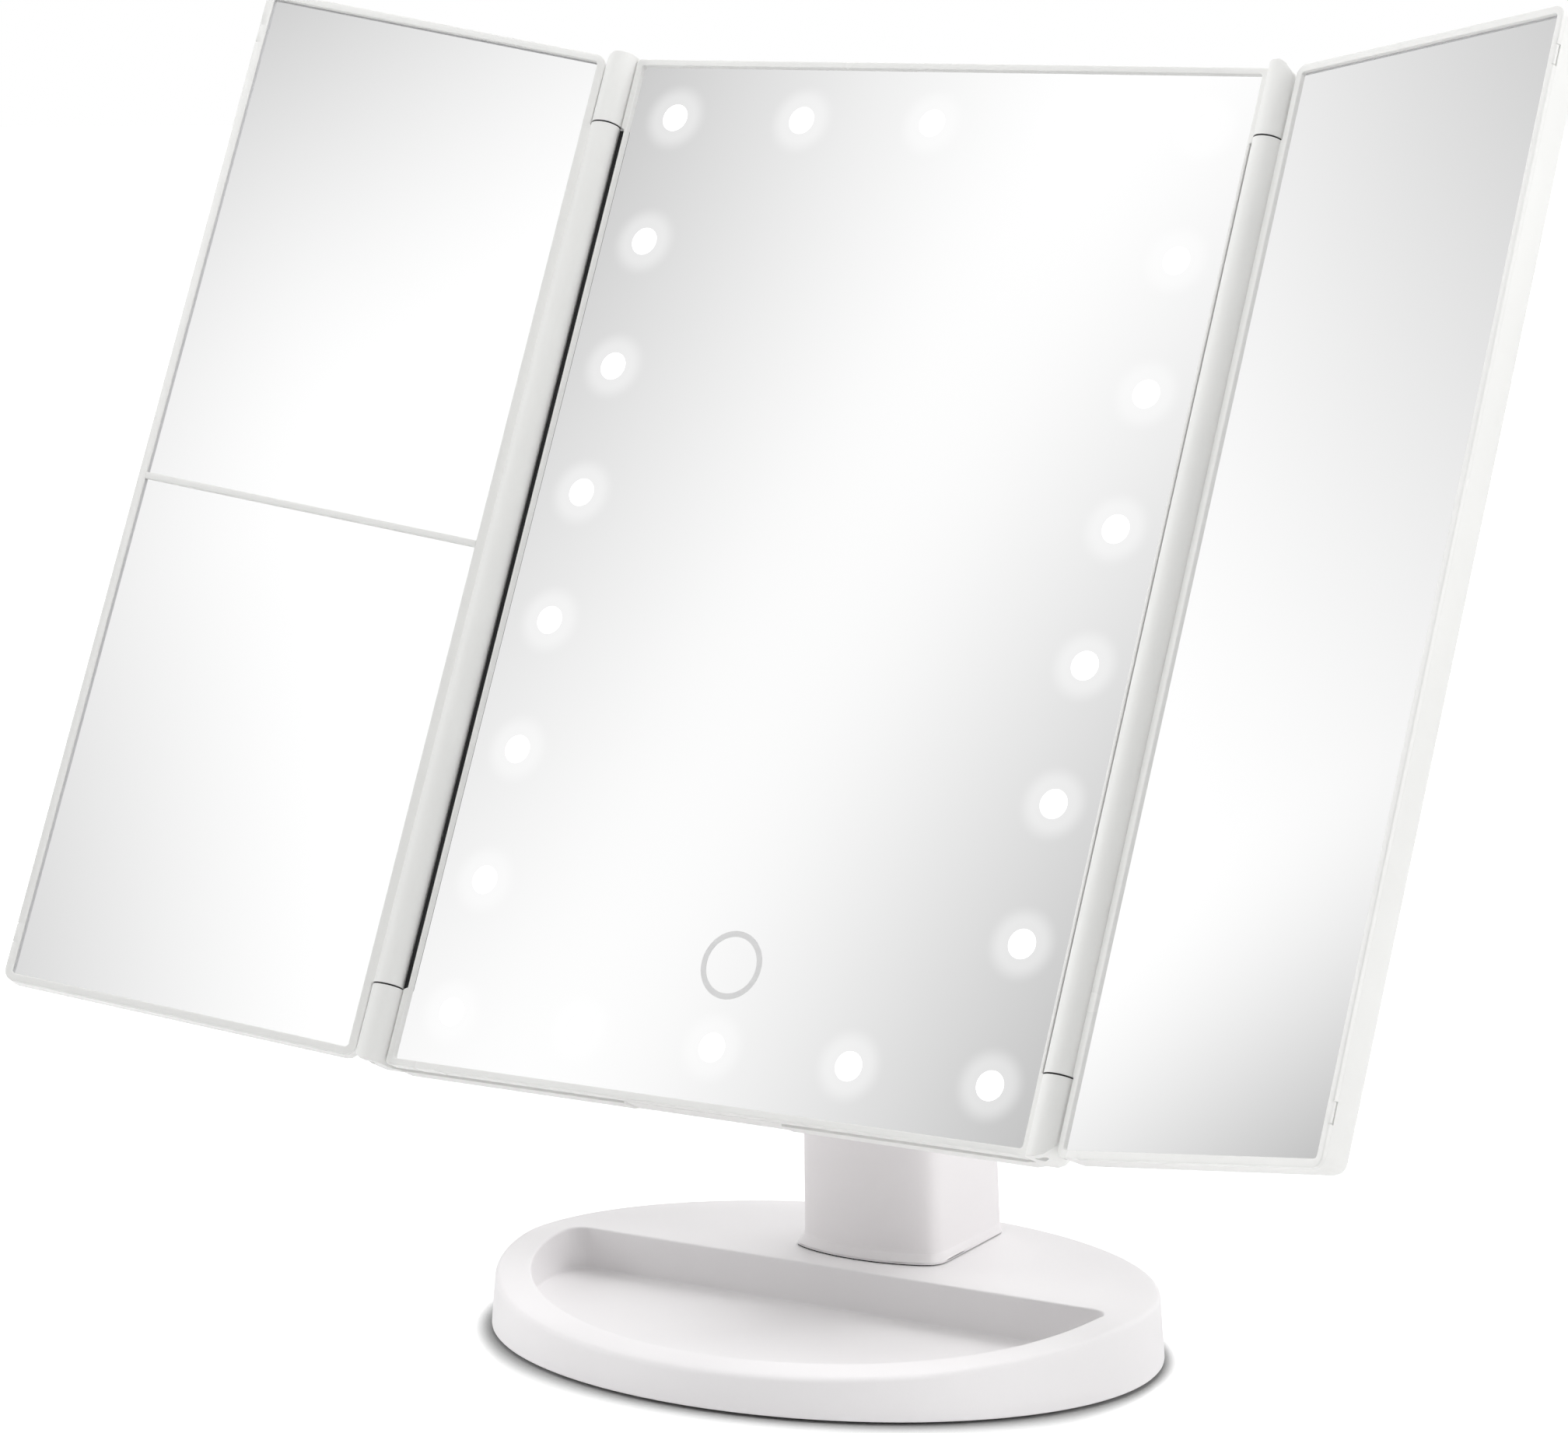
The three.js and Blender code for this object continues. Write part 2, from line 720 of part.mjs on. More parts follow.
function buildBatteries() {
  const pocketLow = cellLow - stripRoom;
  const pocketHigh = cellHigh + stripRoom;
  let holder = plate(
    -holderHalf,
    holderHalf,
    holderY - holderHalf,
    holderY + holderHalf,
    1.5,
    holderLow,
    holderHigh,
    2,
  );
  const pocketHalf = stripHalf + fitGap;
  for (const [z0, z1] of [
    [pocketLow, cellLow],
    [cellHigh, pocketHigh],
  ]) {
    holder = cut(holder, block(-pocketHalf, pocketHalf, holderY - pocketHalf, holderY + pocketHalf, z0, z1));
  }
  const places = [];
  for (const row of [-1, 1]) {
    for (const side of [-1, 1]) {
      places.push([(side * cellPitch) / 2, holderY + (row * cellPitch) / 2, row]);
    }
  }
  const mouth = cellRadius * 0.8;
  for (const [x, y, row] of places) {
    const well = rod("z", cellLow - 0.5, cellHigh + 0.5, x, y, cellRadius + fitGap);
    const outside = holderY + row * (holderHalf + 1);
    holder = cut(holder, well, block(x - mouth, x + mouth, y, outside, pocketLow, pocketHigh));
  }
  part(stand, "battery_holder", holder, holderBlack, 0.6);
  places.forEach(([x, y], i) => {
    const cell = join(
      rod("z", cellLow, cellLow + cellLength, x, y, cellRadius),
      rod("z", cellLow + cellLength - 0.5, cellHigh, x, y, cellTipRadius, 16),
    );
    part(stand, "battery_cell_" + (i + 1), cell, 0x8d9197, 0.4, 0.6);
  });
  for (const [name, z] of [
    ["contact_strip_bottom", pocketLow + fitGap],
    ["contact_strip_top", cellHigh + fitGap],
  ]) {
    const strip = block(-stripHalf, stripHalf, holderY - stripHalf, holderY + stripHalf, z, z + stripThick);
    part(stand, name, strip, silver, 0.35, 1);
  }
}

function buildUsb() {
  const rear = rearOf(usbZ) - usbSkin;
  const low = usbZ - usbHeight / 2;
  const inner = usbHeight / 2 - usbSkin;
  const hollowHalf = usbHalfWidth - usbSkin;
  let socket = block(-usbHalfWidth, usbHalfWidth, rear - usbDepth, rear, low, low + usbHeight);
  socket = cut(socket, block(-hollowHalf, hollowHalf, rear - usbDepth + 1, rear + 1, usbZ - inner, usbZ + inner));
  socket = join(socket, block(-2.6, 2.6, rear - usbDepth + 0.5, rear - 0.9, usbZ - 0.2, usbZ + 0.35));
  part(stand, "usb_socket", socket, silver, 0.3, 1);
  const boardTop = low - fitGap;
  const boardRear = rearOf(usbZ) - columnWall - fitGap;
  const board = join(
    block(-8, 8, boardRear - 15, boardRear, boardTop - boardThick, boardTop),
    block(-5, -1, boardRear - 12, boardRear - 8, boardTop - 0.1, boardTop + 1.1),
  );
  part(stand, "power_board", board, boardGreen, 0.5);
}

function buildSwitch() {
  const wallInside = rearOf(switchZ) - columnWall;
  const left = -(knobWidth + switchTravel) / 2;
  const right = left + knobWidth;
  const flangeRear = wallInside - 2 * fitGap;
  const knobRear = rearOf(switchZ) + knobProud;
  const rise = knobHeight / 2;
  const slider = join(
    block(left, right, flangeRear - 0.5, knobRear, switchZ - rise, switchZ + rise),
    block(left - 0.8, right + 0.8, flangeRear - 1, flangeRear, switchZ - rise - 0.9, switchZ + rise + 0.9),
  );
  part(stand, "switch_slider", slider, holderBlack, 0.5);
  const bodyRear = flangeRear - 1 - fitGap;
  const bodyRise = switchBodyHeight / 2;
  const body = block(
    -switchBodyHalf,
    switchBodyHalf,
    bodyRear - 3.5,
    bodyRear,
    switchZ - bodyRise,
    switchZ + bodyRise,
  );
  part(stand, "switch_body", body, holderBlack, 0.5);
}

// The tilt axis in the head's frame, as [up, out].
const tiltInHead = (() => {
  const dy = tiltAxisY - headCentre[1];
  const dz = tiltAxisZ - headCentre[2];
  const up = dy * Math.sin(headTilt) + dz * Math.cos(headTilt);
  const out = dz * Math.sin(headTilt) - dy * Math.cos(headTilt);
  return [up, out];
})();

function buildTiltAxle() {
  const [up, out] = tiltInHead;
  const seat = cheekOuter - axleSeat + fitGap;
  const end = seat + axleHeadThick;
  const axle = join(
    rod("x", seat, end, up, out, axleHeadRadius, 20),
    rod("x", -end + 0.2, seat + 0.2, up, out, axleRadius),
  );
  part(head, "tilt_axle", axle, steel, 0.3, 1);
  const bore = (from, to) => rod("x", from, to, up, out, axleRadius + fitGap);
  const nut = cut(rod("x", -end, -seat, up, out, axleHeadRadius, 6), bore(-end - 1, -seat + 1));
  part(head, "tilt_nut", nut, steel, 0.3, 1);
  for (const [side, name] of [
    [-1, "left"],
    [1, "right"],
  ]) {
    const near = side * (knuckleHalf + fitGap);
    const far = side * (cheekInner - fitGap);
    const washer = cut(rod("x", near, far, up, out, washerRadius), bore(near - side, far + side));
    part(head, "tilt_washer_" + name, washer, 0xe9e7e2, 0.5);
  }
}

// The tilt bracket: a thick pad on the shell's back with two cheeks reaching to the axis.
function tiltBracket() {
  const [up, out] = tiltInHead;
  const pad = plate(
    -bracketHalfWidth,
    bracketHalfWidth,
    up - bracketBelow,
    up + bracketAbove,
    5,
    shellBack - bracketThick,
    shellBack + 1,
  );
  const flank = [
    [up - knuckleRadius, out],
    [up + knuckleRadius, out],
    [up + knuckleRadius + 4, shellBack - 1],
    [up - knuckleRadius - 1.5, shellBack - 1],
  ];
  const pieces = [pad];
  for (const [x0, x1] of [
    [-cheekOuter, -cheekInner],
    [cheekInner, cheekOuter],
  ]) {
    pieces.push(rod("x", x0, x1, up, out, knuckleRadius, 32), profileAcross(flank, x0, x1));
  }
  return pieces;
}

function tiltBores() {
  const [up, out] = tiltInHead;
  const reach = cheekOuter + 1;
  const seat = cheekOuter - axleSeat;
  return [
    rod("x", -reach, reach, up, out, axleRadius + fitGap),
    rod("x", seat, reach, up, out, axleHeadRadius + fitGap),
    rod("x", -reach, -seat, up, out, axleHeadRadius + fitGap),
    rod("z", shellBack - bracketThick - 1, shellBack + shellWall + 1, 0, up, 3, 16),
  ];
}

function pinBore(from, to, x, z) {
  return rod("y", from, to, x, z, pinRadius + fitGap, 16);
}

// A fixed knuckle at one corner of the head: a short barrel on a block, its outer end corner rounded.
function cornerKnuckle(side, end) {
  const y0 = end * knuckleLow;
  const y1 = end * knuckleEnd;
  const outerX = side * (hingeX + knuckleBlockHalf);
  const bezelEdge = side * (bezelEndHalfWidth + fitGap);
  const shellEdge = side * (bezelHalfWidth - shellWall);
  const made = join(
    rod("y", y0, y1, side * hingeX, hingeZ, barrelRadius, 32),
    block(bezelEdge, outerX, y0, y1, knuckleBack, hingeZ),
    block(shellEdge, outerX, y0, y1, knuckleBack, shellFront),
  );
  const [innermost] = knuckleRound[0];
  const [outermost, lowest] = knuckleRound[knuckleRound.length - 1];
  const waste = [...knuckleRound, [outermost + past, lowest], [outermost + past, -past], [innermost, -past]];
  const corner = waste.map(([out, back]) => [side * (hingeX + out), end * (knuckleEnd - back)]);
  return cut(made, slab(corner, knuckleBack - 1, hingeZ + barrelRadius + 1));
}

const diffuserLow = -glassThick - fitGap - diffuserThick;
const ledTop = diffuserLow - fitGap;
const ledBoardHigh = ledTop - ledSize[2];
const ledBoardLow = ledBoardHigh - boardThick;
const controlHigh = ledBoardLow - 0.5;

// Posts under the lamp board and the control board, and low ribs across the floor.
function headInside() {
  const floor = shellBack + shellWall;
  const deep = floor - 0.5;
  const post = (x, y, top) => block(x - postHalf, x + postHalf, y - postHalf, y + postHalf, deep, top);
  const lampSeat = ledBoardLow - fitGap;
  const controlSeat = controlHigh - boardThick - fitGap;
  const made = [];
  for (const x of [-lampReachX, 0, lampReachX]) {
    made.push(post(x, -lampReachY, lampSeat), post(x, lampReachY, lampSeat));
  }
  for (const side of [-1, 1]) {
    made.push(post(side * lampReachX, 0, lampSeat));
    for (const y of [controlSpan[0] + 3, controlSpan[1] - 3]) {
      made.push(post(side * (controlHalf - 3), y, controlSeat));
    }
  }
  const ribTop = floor + 1.6;
  const ribX = lampReachX - 20;
  const farX = lampReachX - 8;
  const farY = lampReachY - 5;
  for (const x of [-ribX, ribX]) {
    made.push(block(x - ribHalf, x + ribHalf, -farY, farY, deep, ribTop));
  }
  for (const y of [-0.67 * lampReachY, 0.48 * lampReachY]) {
    made.push(block(-farX, farX, y - ribHalf, y + ribHalf, deep, ribTop));
  }
  return made;
}

function buildHeadShell() {
  const wide = bezelHalfWidth;
  const innerWide = wide - shellWall;
  const innerHigh = shellHalfHeight - shellWall;
  const innerLevels = shellLevels.map(([z, inset]) => [z + shellWall, inset]);
  let shell = tub(-wide, wide, shellHalfHeight, shellCorner, shellLevels, shellFront);
  shell = cut(shell, tub(-innerWide, innerWide, innerHigh, shellCorner, innerLevels, shellFront + past));
  shell = join(shell, ...headInside());
  for (const end of [-1, 1]) {
    const y0 = end * (shellHalfHeight - notchDepth);
    const y1 = end * (shellHalfHeight + past);
    shell = cut(shell, block(-notchHalfWidth, notchHalfWidth, y0, y1, shellBack + 3, shellFront + 1));
    for (const side of [-1, 1]) {
      const bore = pinBore(end * (knuckleLow - 1), end * (knuckleEnd + 1), side * hingeX, hingeZ);
      shell = cut(join(shell, cornerKnuckle(side, end)), bore);
    }
  }
  shell = cut(join(shell, ...tiltBracket()), ...tiltBores());
  part(head, "head_back_shell", shell, shellWhite, 0.5);
}

// The bezel is narrower beside the long barrels and wider beside the fixed knuckles.
function bezelOutline() {
  const step = knuckleLow - 0.2;
  const corners = [];
  for (const [sideX, sideY] of [
    [1, -1],
    [1, 1],
    [-1, 1],
    [-1, -1],
  ]) {
    const wide = sideX * bezelEndHalfWidth;
    const quarter = [
      [wide, sideY * bezelHalfHeight, 1],
      [wide, sideY * step],
      [sideX * bezelHalfWidth, sideY * (step - 0.5)],
    ];
    corners.push(...(sideX * sideY < 0 ? quarter : quarter.reverse()));
  }
  return filleted(corners, 3);
}

function buildBezel() {
  const innerX = bezelHalfWidth - skirtWall;
  const innerY = bezelHalfHeight - skirtWall;
  const bezel = cut(
    slab(bezelOutline(), shellFront + fitGap, bezelFront),
    plate(-innerX, innerX, -innerY, innerY, 0.6, shellFront - 1, fitGap, 2),
    plate(-openHalfWidth, openHalfWidth, -openHalfHeight, openHalfHeight, 0.8, -1, bezelFront + 1, 2),
  );
  part(head, "head_front_bezel", bezel, frameWhite, 0.4);
}

// The lamps stand round the edge: all of the first and last row, and the ends of the rows between.
function lampPlaces() {
  const places = [];
  for (let row = 0; row < lampRows; row++) {
    for (let column = 0; column < lampColumns; column++) {
      const endRow = row === 0 || row === lampRows - 1;
      const endColumn = column === 0 || column === lampColumns - 1;
      if (endRow || endColumn) {
        places.push([column * lampPitchX - lampReachX, row * lampPitchY - lampReachY]);
      }
    }
  }
  return places;
}

function buildCentreMirror() {
  const halfX = bezelHalfWidth - skirtWall - fitGap;
  const halfY = bezelHalfHeight - skirtWall - fitGap;
  let pane = plate(-halfX, halfX, -halfY, halfY, 0.6, -glassThick, 0, 2);
  const depth = -glassThick + windowDepth;
  for (const [x, y] of lampPlaces()) {
    pane = cut(pane, rod("z", -glassThick - 1, depth, x, y, lampWindow, 12));
  }
  const ring = cut(
    rod("z", -glassThick - 1, depth, 0, touchY, touchOuter, 32),
    rod("z", -glassThick - 2, depth + 1, 0, touchY, touchInner, 32),
  );
  part(head, "centre_mirror", cut(pane, ring), silver, 0.05, 1);
}

function buildLighting() {
  const sheetX = bezelHalfWidth - shellWall - fitGap;
  const sheetY = shellHalfHeight - shellWall - fitGap;
  const sheet = plate(-sheetX, sheetX, -sheetY, sheetY, 1, diffuserLow, diffuserLow + diffuserThick, 2);
  part(head, "light_diffuser", sheet, 0xf4f6f6, 0.7);

  const outerX = lampReachX + boardRail / 2;
  const outerY = lampReachY + boardRail / 2;
  const innerX = outerX - boardRail;
  const innerY = outerY - boardRail;
  const tabHalf = touchPadRadius + 1.5;
  let board = cut(
    block(-outerX, outerX, -outerY, outerY, ledBoardLow, ledBoardHigh),
    block(-innerX, innerX, -innerY, innerY, ledBoardLow - 1, ledBoardHigh + 1),
  );
  board = join(board, block(-tabHalf, tabHalf, -innerY - 1, touchY + tabHalf, ledBoardLow, ledBoardHigh));
  const [ledX, ledY] = ledSize;
  for (const [x, y] of lampPlaces()) {
    const led = block(x - ledX / 2, x + ledX / 2, y - ledY / 2, y + ledY / 2, ledBoardHigh - 0.1, ledTop);
    board = join(board, led);
  }
  part(head, "led_board", board, 0xeceeee, 0.5);

  const touchPad = rod("z", ledBoardHigh + fitGap, ledTop, 0, touchY, touchPadRadius);
  part(head, "touch_pad", touchPad, 0xc98c4a, 0.4, 1);

  const under = controlHigh - boardThick;
  const control = join(
    block(-controlHalf, controlHalf, controlSpan[0], controlSpan[1], under, controlHigh),
    block(-8, 0, 2, 10, under - 1, under + 0.1),
    block(8, 14, 12, 20, under - 1.4, under + 0.1),
  );
  part(head, "control_board", control, boardGreen, 0.5);
}

function buildHingePins() {
  for (const [side, sideName] of [
    [-1, "left"],
    [1, "right"],
  ]) {
    for (const [end, endName] of [
      [-1, "bottom"],
      [1, "top"],
    ]) {
      const near = end * (barrelHalf - pinReach + fitGap);
      const far = end * (knuckleEnd - pinRecess);
      const pin = rod("y", near, far, side * hingeX, hingeZ, pinRadius, 16);
      part(head, "hinge_pin_" + sideName + "_" + endName, pin, steel, 0.3, 1);
    }
  }
}

const wingRim = wingFace - wingBezelThick - fitGap;
const wingGlassLow = wingRim - glassThick;
const wingShellInner = wingInner + wingWall;
const wingShellOuter = wingOuter - wingWall;
const wingShellHigh = wingHalfHeight - wingWall;

function wingRibs() {
  const floor = wingBack + wingBackSkin;
  const top = wingGlassLow - fitGap;
  const made = [];
  const quarter = (wingOuter - wingInner) / 4;
  for (const x of [wingInner + quarter, wingOuter - quarter]) {
    made.push(block(x - ribHalf, x + ribHalf, -wingShellHigh - 0.2, wingShellHigh + 0.2, floor - 0.5, top));
  }
  const ribY = (wingHalfHeight * 2) / 3;
  for (const y of [-ribY, 0, ribY]) {
    made.push(block(wingShellInner - 0.2, wingShellOuter + 0.2, y - ribHalf, y + ribHalf, floor - 0.5, top));
  }
  return made;
}

function wingShell() {
  const floor = wingBack + wingBackSkin;
  const levels = [
    [wingBack, 1.3],
    [wingBack + 0.45, 0.45],
    [wingBack + 1.3, 0],
  ];
  const corner = wingCorner - wingWall;
  let shell = tub(wingInner, wingOuter, wingHalfHeight, wingCorner, levels, wingRim);
  const hollow = plate(
    wingShellInner,
    wingShellOuter,
    -wingShellHigh,
    wingShellHigh,
    corner,
    floor,
    wingRim + 1,
    3,
  );
  const barrel = join(
    rod("y", -barrelHalf, barrelHalf, 0, 0, barrelRadius, 32),
    block(0, wingInner + 0.5, -barrelHalf, barrelHalf, -barrelRadius, wingRim),
  );
  shell = join(cut(shell, hollow), barrel, ...wingRibs());
  const snapLow = wingRim - snapDrop - snapHeight;
  for (const end of [-1, 1]) {
    const y0 = end * snapY - snapLength / 2;
    const snap = block(wingShellOuter - 1, wingOuter + 1, y0, y0 + snapLength, snapLow, snapLow + snapHeight);
    shell = cut(shell, pinBore(end * (barrelHalf - pinReach), end * (barrelHalf + 1), 0, 0), snap);
  }
  return shell;
}

function wingBezel(panes) {
  const low = wingFace - wingBezelThick;
  let bezel = plate(wingInner, wingOuter, -wingHalfHeight, wingHalfHeight, wingCorner, low, wingFace, 5);
  for (const { end } of panes) {
    const y0 = end > 0 ? wingRail / 2 : -wingOpenHalf;
    const y1 = end < 0 ? -wingRail / 2 : wingOpenHalf;
    bezel = cut(bezel, plate(wingOpenInner, wingOpenOuter, y0, y1, 0.8, low - 1, wingFace + 1, 2));
  }
  return bezel;
}

function wingPane(end) {
  const half = wingShellHigh - fitGap;
  const y0 = end > 0 ? fitGap : -half;
  const y1 = end < 0 ? -fitGap : half;
  return plate(wingShellInner + fitGap, wingShellOuter - fitGap, y0, y1, 0.6, wingGlassLow, wingRim, 2);
}

// One wing: a shallow shell with its long barrel, a front bezel and one or two panes.
function buildWing(name, side, fold, panes) {
  const wing = new THREE.Group();
  const across = new THREE.Vector3(side * Math.cos(fold), 0, Math.sin(fold));
  const up = new THREE.Vector3(0, 1, 0);
  const out = new THREE.Vector3(-side * Math.sin(fold), 0, Math.cos(fold));
  const turn = new THREE.Matrix4().makeBasis(across, up, out);
  turn.setPosition(side * hingeX, 0, hingeZ);
  wing.applyMatrix4(turn);
  head.add(wing);
  part(wing, name + "_wing_shell", wingShell(), shellWhite, 0.5);
  part(wing, name + "_wing_bezel", wingBezel(panes), frameWhite, 0.4);
  for (const pane of panes) {
    part(wing, pane.name, wingPane(pane.end), silver, 0.05, 1);
  }
}

buildBaseShell();
buildBottomPlate();
buildBaseFittings();
buildNeck();
buildNeckFastening();
buildDoor();
buildBatteries();
buildUsb();
buildSwitch();

buildHeadShell();
buildBezel();
buildCentreMirror();
buildLighting();
buildHingePins();
buildTiltAxle();
buildWing("left", -1, leftFold, [
  { name: "left_lower_mirror", end: -1 },
  { name: "left_upper_mirror", end: 1 },
]);
buildWing("right", 1, rightFold, [{ name: "right_mirror", end: 0 }]);

head.rotation.x = Math.PI / 2 - headTilt;
head.position.set(...headCentre);

// The origin goes under the middle of the whole object.
root.updateMatrixWorld(true);
const middle = new THREE.Box3().setFromObject(root, true).getCenter(new THREE.Vector3());
root.position.set(-middle.x, -middle.y, 0);

export default root;
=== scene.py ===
# Folding make-up mirror with lamps round its middle glass, on a tray stand.
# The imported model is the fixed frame. This script adds the finishes, the pieces with soft edges,
# a plain studio and the photograph's camera.
import json
import math

import bmesh
import bpy
from mathutils import Matrix, Vector

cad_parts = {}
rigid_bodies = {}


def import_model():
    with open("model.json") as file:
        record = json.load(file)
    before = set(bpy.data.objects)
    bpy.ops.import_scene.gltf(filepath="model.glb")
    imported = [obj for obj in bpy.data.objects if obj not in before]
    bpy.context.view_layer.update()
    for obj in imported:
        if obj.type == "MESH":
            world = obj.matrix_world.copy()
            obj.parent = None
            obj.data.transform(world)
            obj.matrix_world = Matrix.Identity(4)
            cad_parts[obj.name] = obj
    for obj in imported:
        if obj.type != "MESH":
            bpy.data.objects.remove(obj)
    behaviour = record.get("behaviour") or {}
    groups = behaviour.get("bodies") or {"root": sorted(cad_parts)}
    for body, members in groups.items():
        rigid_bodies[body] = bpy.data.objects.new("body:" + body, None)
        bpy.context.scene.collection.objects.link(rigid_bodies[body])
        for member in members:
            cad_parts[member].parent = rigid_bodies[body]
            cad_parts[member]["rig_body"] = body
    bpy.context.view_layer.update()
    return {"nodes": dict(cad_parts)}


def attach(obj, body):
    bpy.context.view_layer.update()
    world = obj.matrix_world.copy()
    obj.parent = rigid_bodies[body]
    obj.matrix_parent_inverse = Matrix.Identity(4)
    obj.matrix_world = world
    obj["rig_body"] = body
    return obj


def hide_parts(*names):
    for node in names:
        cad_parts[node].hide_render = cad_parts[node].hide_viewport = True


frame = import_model()
nodes = frame["nodes"]
mm = 0.001
white = (1, 1, 1, 1)
print("frame loaded:", len(nodes), "nodes")

# the head's own frame: x across, y up along the glass, z out of it
headLook = {"centre": (-0.00068, 0.011304, 0.16938), "tilt": 24.78}
headTurn = math.radians(90 - headLook["tilt"])
headFrame = Matrix.Translation(headLook["centre"]) @ Matrix.Rotation(headTurn, 4, "X")

# the stand's own frame: the middle of the base on the table, in mm
standPlace = (-0.67963, 11.62413)
standFrame = Matrix.Translation((standPlace[0] * mm, standPlace[1] * mm, 0))

# the wings' own frames stand on their hinge axes; the left wing lies on the minus side of its x
hingeLook = {"out": 84.8, "proud": 2.2, "leftFold": 26.3, "rightFold": 23.7}


def hingeAt(side):
    # the hinge axis on one side of the head, in the head's frame
    return Matrix.Translation((side * hingeLook["out"] * mm, 0, hingeLook["proud"] * mm))


def wingFrame(side, fold):
    return headFrame @ hingeAt(side) @ Matrix.Rotation(-side * math.radians(fold), 4, "Y")


leftFrame = wingFrame(-1, hingeLook["leftFold"])
rightFrame = wingFrame(1, hingeLook["rightFold"])


def toLinear(hexColour):
    # an sRGB hex value as the linear colour that shaders work in
    made = []
    for start in (0, 2, 4):
        value = int(hexColour[start:start + 2], 16) / 255
        made.append(value / 12.92 if value <= 0.04045 else ((value + 0.055) / 1.055) ** 2.4)
    return (*made, 1.0)


def add(tree, kind, links=(), **settings):
    # one node with its settings; links gives its inputs, in order or by name: each a value, an
    # output, or a node for its first output
    made = tree.nodes.new(kind)
    for name, value in settings.items():
        setattr(made, name, value)
    for name, value in links.items() if isinstance(links, dict) else enumerate(links):
        if isinstance(value, bpy.types.Node):
            value = value.outputs[0]
        if isinstance(value, bpy.types.NodeSocket):
            tree.links.new(value, made.inputs[name])
        else:
            made.inputs[name].default_value = value
    return made


def linked(name, data):
    # an object in the scene with this data
    made = bpy.data.objects.new(name, data)
    bpy.context.scene.collection.objects.link(made)
    return made


def newMaterial(name):
    # an empty material, with its tree and the place on the object that its patterns follow
    made = bpy.data.materials.new(name)
    made.use_nodes = True
    made.node_tree.nodes.clear()
    place = add(made.node_tree, "ShaderNodeTexCoord").outputs["Object"]
    return made, made.node_tree, place


cameraLook = {
    "place": (0.58478, -0.91473, 0.30232),
    "azimuth": 32.7544,
    "down": 8.4914,
    "lens": 117.575,
    "sensor": 36,
    "reach": 50,
}


def makeCamera(look):
    # the photograph's view, solved from the corners of the glasses and the base's outline
    data = bpy.data.cameras.new("camera")
    data.sensor_width = look["sensor"]
    data.lens = look["lens"]
    data.clip_end = look["reach"]
    made = linked("camera", data)
    made.location = look["place"]
    made.rotation_euler = (math.radians(90 - look["down"]), 0, math.radians(look["azimuth"]))
    bpy.context.scene.camera = made


makeCamera(cameraLook)
print("camera placed")

studioLook = {
    "ambient": 0.18,
    "aim": (0, 0, 0.15),
    "lampSize": 1.0,
    "lamps": [
        # name, place in metres, level
        ("frontLamp", (0.1, -0.6, 1.4), 0.50),
        ("backLamp", (0.1, 0.9, 1.3), 0.45),
        ("rightLamp", (1.5, 0.35, 0.75), 0.46),
        ("leftLamp", (-1.4, -0.5, 0.7), 0.42),
    ],
    # what the glasses show: a white studio, greyer below the horizon, never darker than "least"
    "white": 1.145,
    "horizon": 0.3,
    "horizonHeights": (-0.1, 0.2),
    "least": 0.25,
    # a flag shows only in directions that go at least this share forward
    "ahead": 0.05,
    "flags": [
        # frame of the glass that shows it, its middle and half sizes there in mm, turn, darkness
        (headFrame, (-177, 175), (247, 520), -8.9, 0.79),
        (headFrame, (161, -174), (232, 520), -14.8, 0.83),
        (leftFrame, (-151, 190), (209, 520), -40.6, 0.83),
        (leftFrame, (-174, -201), (196, 365), 4.9, 0.83),
        (rightFrame, (171, 295), (343, 520), 15.8, 0.83),
        (rightFrame, (117, -164), (275, 136), 22.2, 0.83),
    ],
}


def makeLamp(name, place, level):
    data = bpy.data.lights.new(name, "AREA")
    data.shape = "SQUARE"
    data.size = studioLook["lampSize"]
    aim = Vector(studioLook["aim"]) - Vector(place)
    # a level of 1 lights a white sheet that faces the lamp to about white
    data.energy = level * math.pi ** 2 * aim.length_squared
    made = linked(name, data)
    made.location = place
    made.rotation_euler = aim.to_track_quat("-Z", "Y").to_euler()
    made.visible_glossy = False


def flagShade(tree, direction, glass, spot, half, turn, dark):
    # a soft dark flag in the studio, placed by where the photograph shows it in a glass
    eye = glass.inverted() @ Vector(cameraLook["place"])
    away = eye.z
    sight = add(tree, "ShaderNodeMapping", {
        "Vector": direction, "Rotation": glass.to_euler(),
    }, vector_type="TEXTURE")
    ahead = add(tree, "ShaderNodeSeparateXYZ", [sight]).outputs[2]
    inverse = add(tree, "ShaderNodeMath", [1, ahead], operation="DIVIDE")
    pane = add(tree, "ShaderNodeVectorMath", {0: sight, "Scale": inverse}, operation="SCALE")
    inFlag = add(tree, "ShaderNodeMapping", {
        "Vector": pane,
        "Location": ((spot[0] * mm - eye.x) / away, (spot[1] * mm - eye.y) / away, 1),
        "Rotation": (0, 0, math.radians(turn)),
        "Scale": (half[0] * mm / away, half[1] * mm / away, 1),
    }, vector_type="TEXTURE")
    out = add(tree, "ShaderNodeVectorMath", [inFlag], operation="LENGTH")
    soft = add(tree, "ShaderNodeMapRange", {
        "Value": out.outputs["Value"], "To Min": dark, "To Max": 0,
    }, interpolation_type="SMOOTHSTEP")
    front = add(tree, "ShaderNodeMath", [ahead, studioLook["ahead"]], operation="GREATER_THAN")
    return add(tree, "ShaderNodeMath", [soft, front], operation="MULTIPLY")


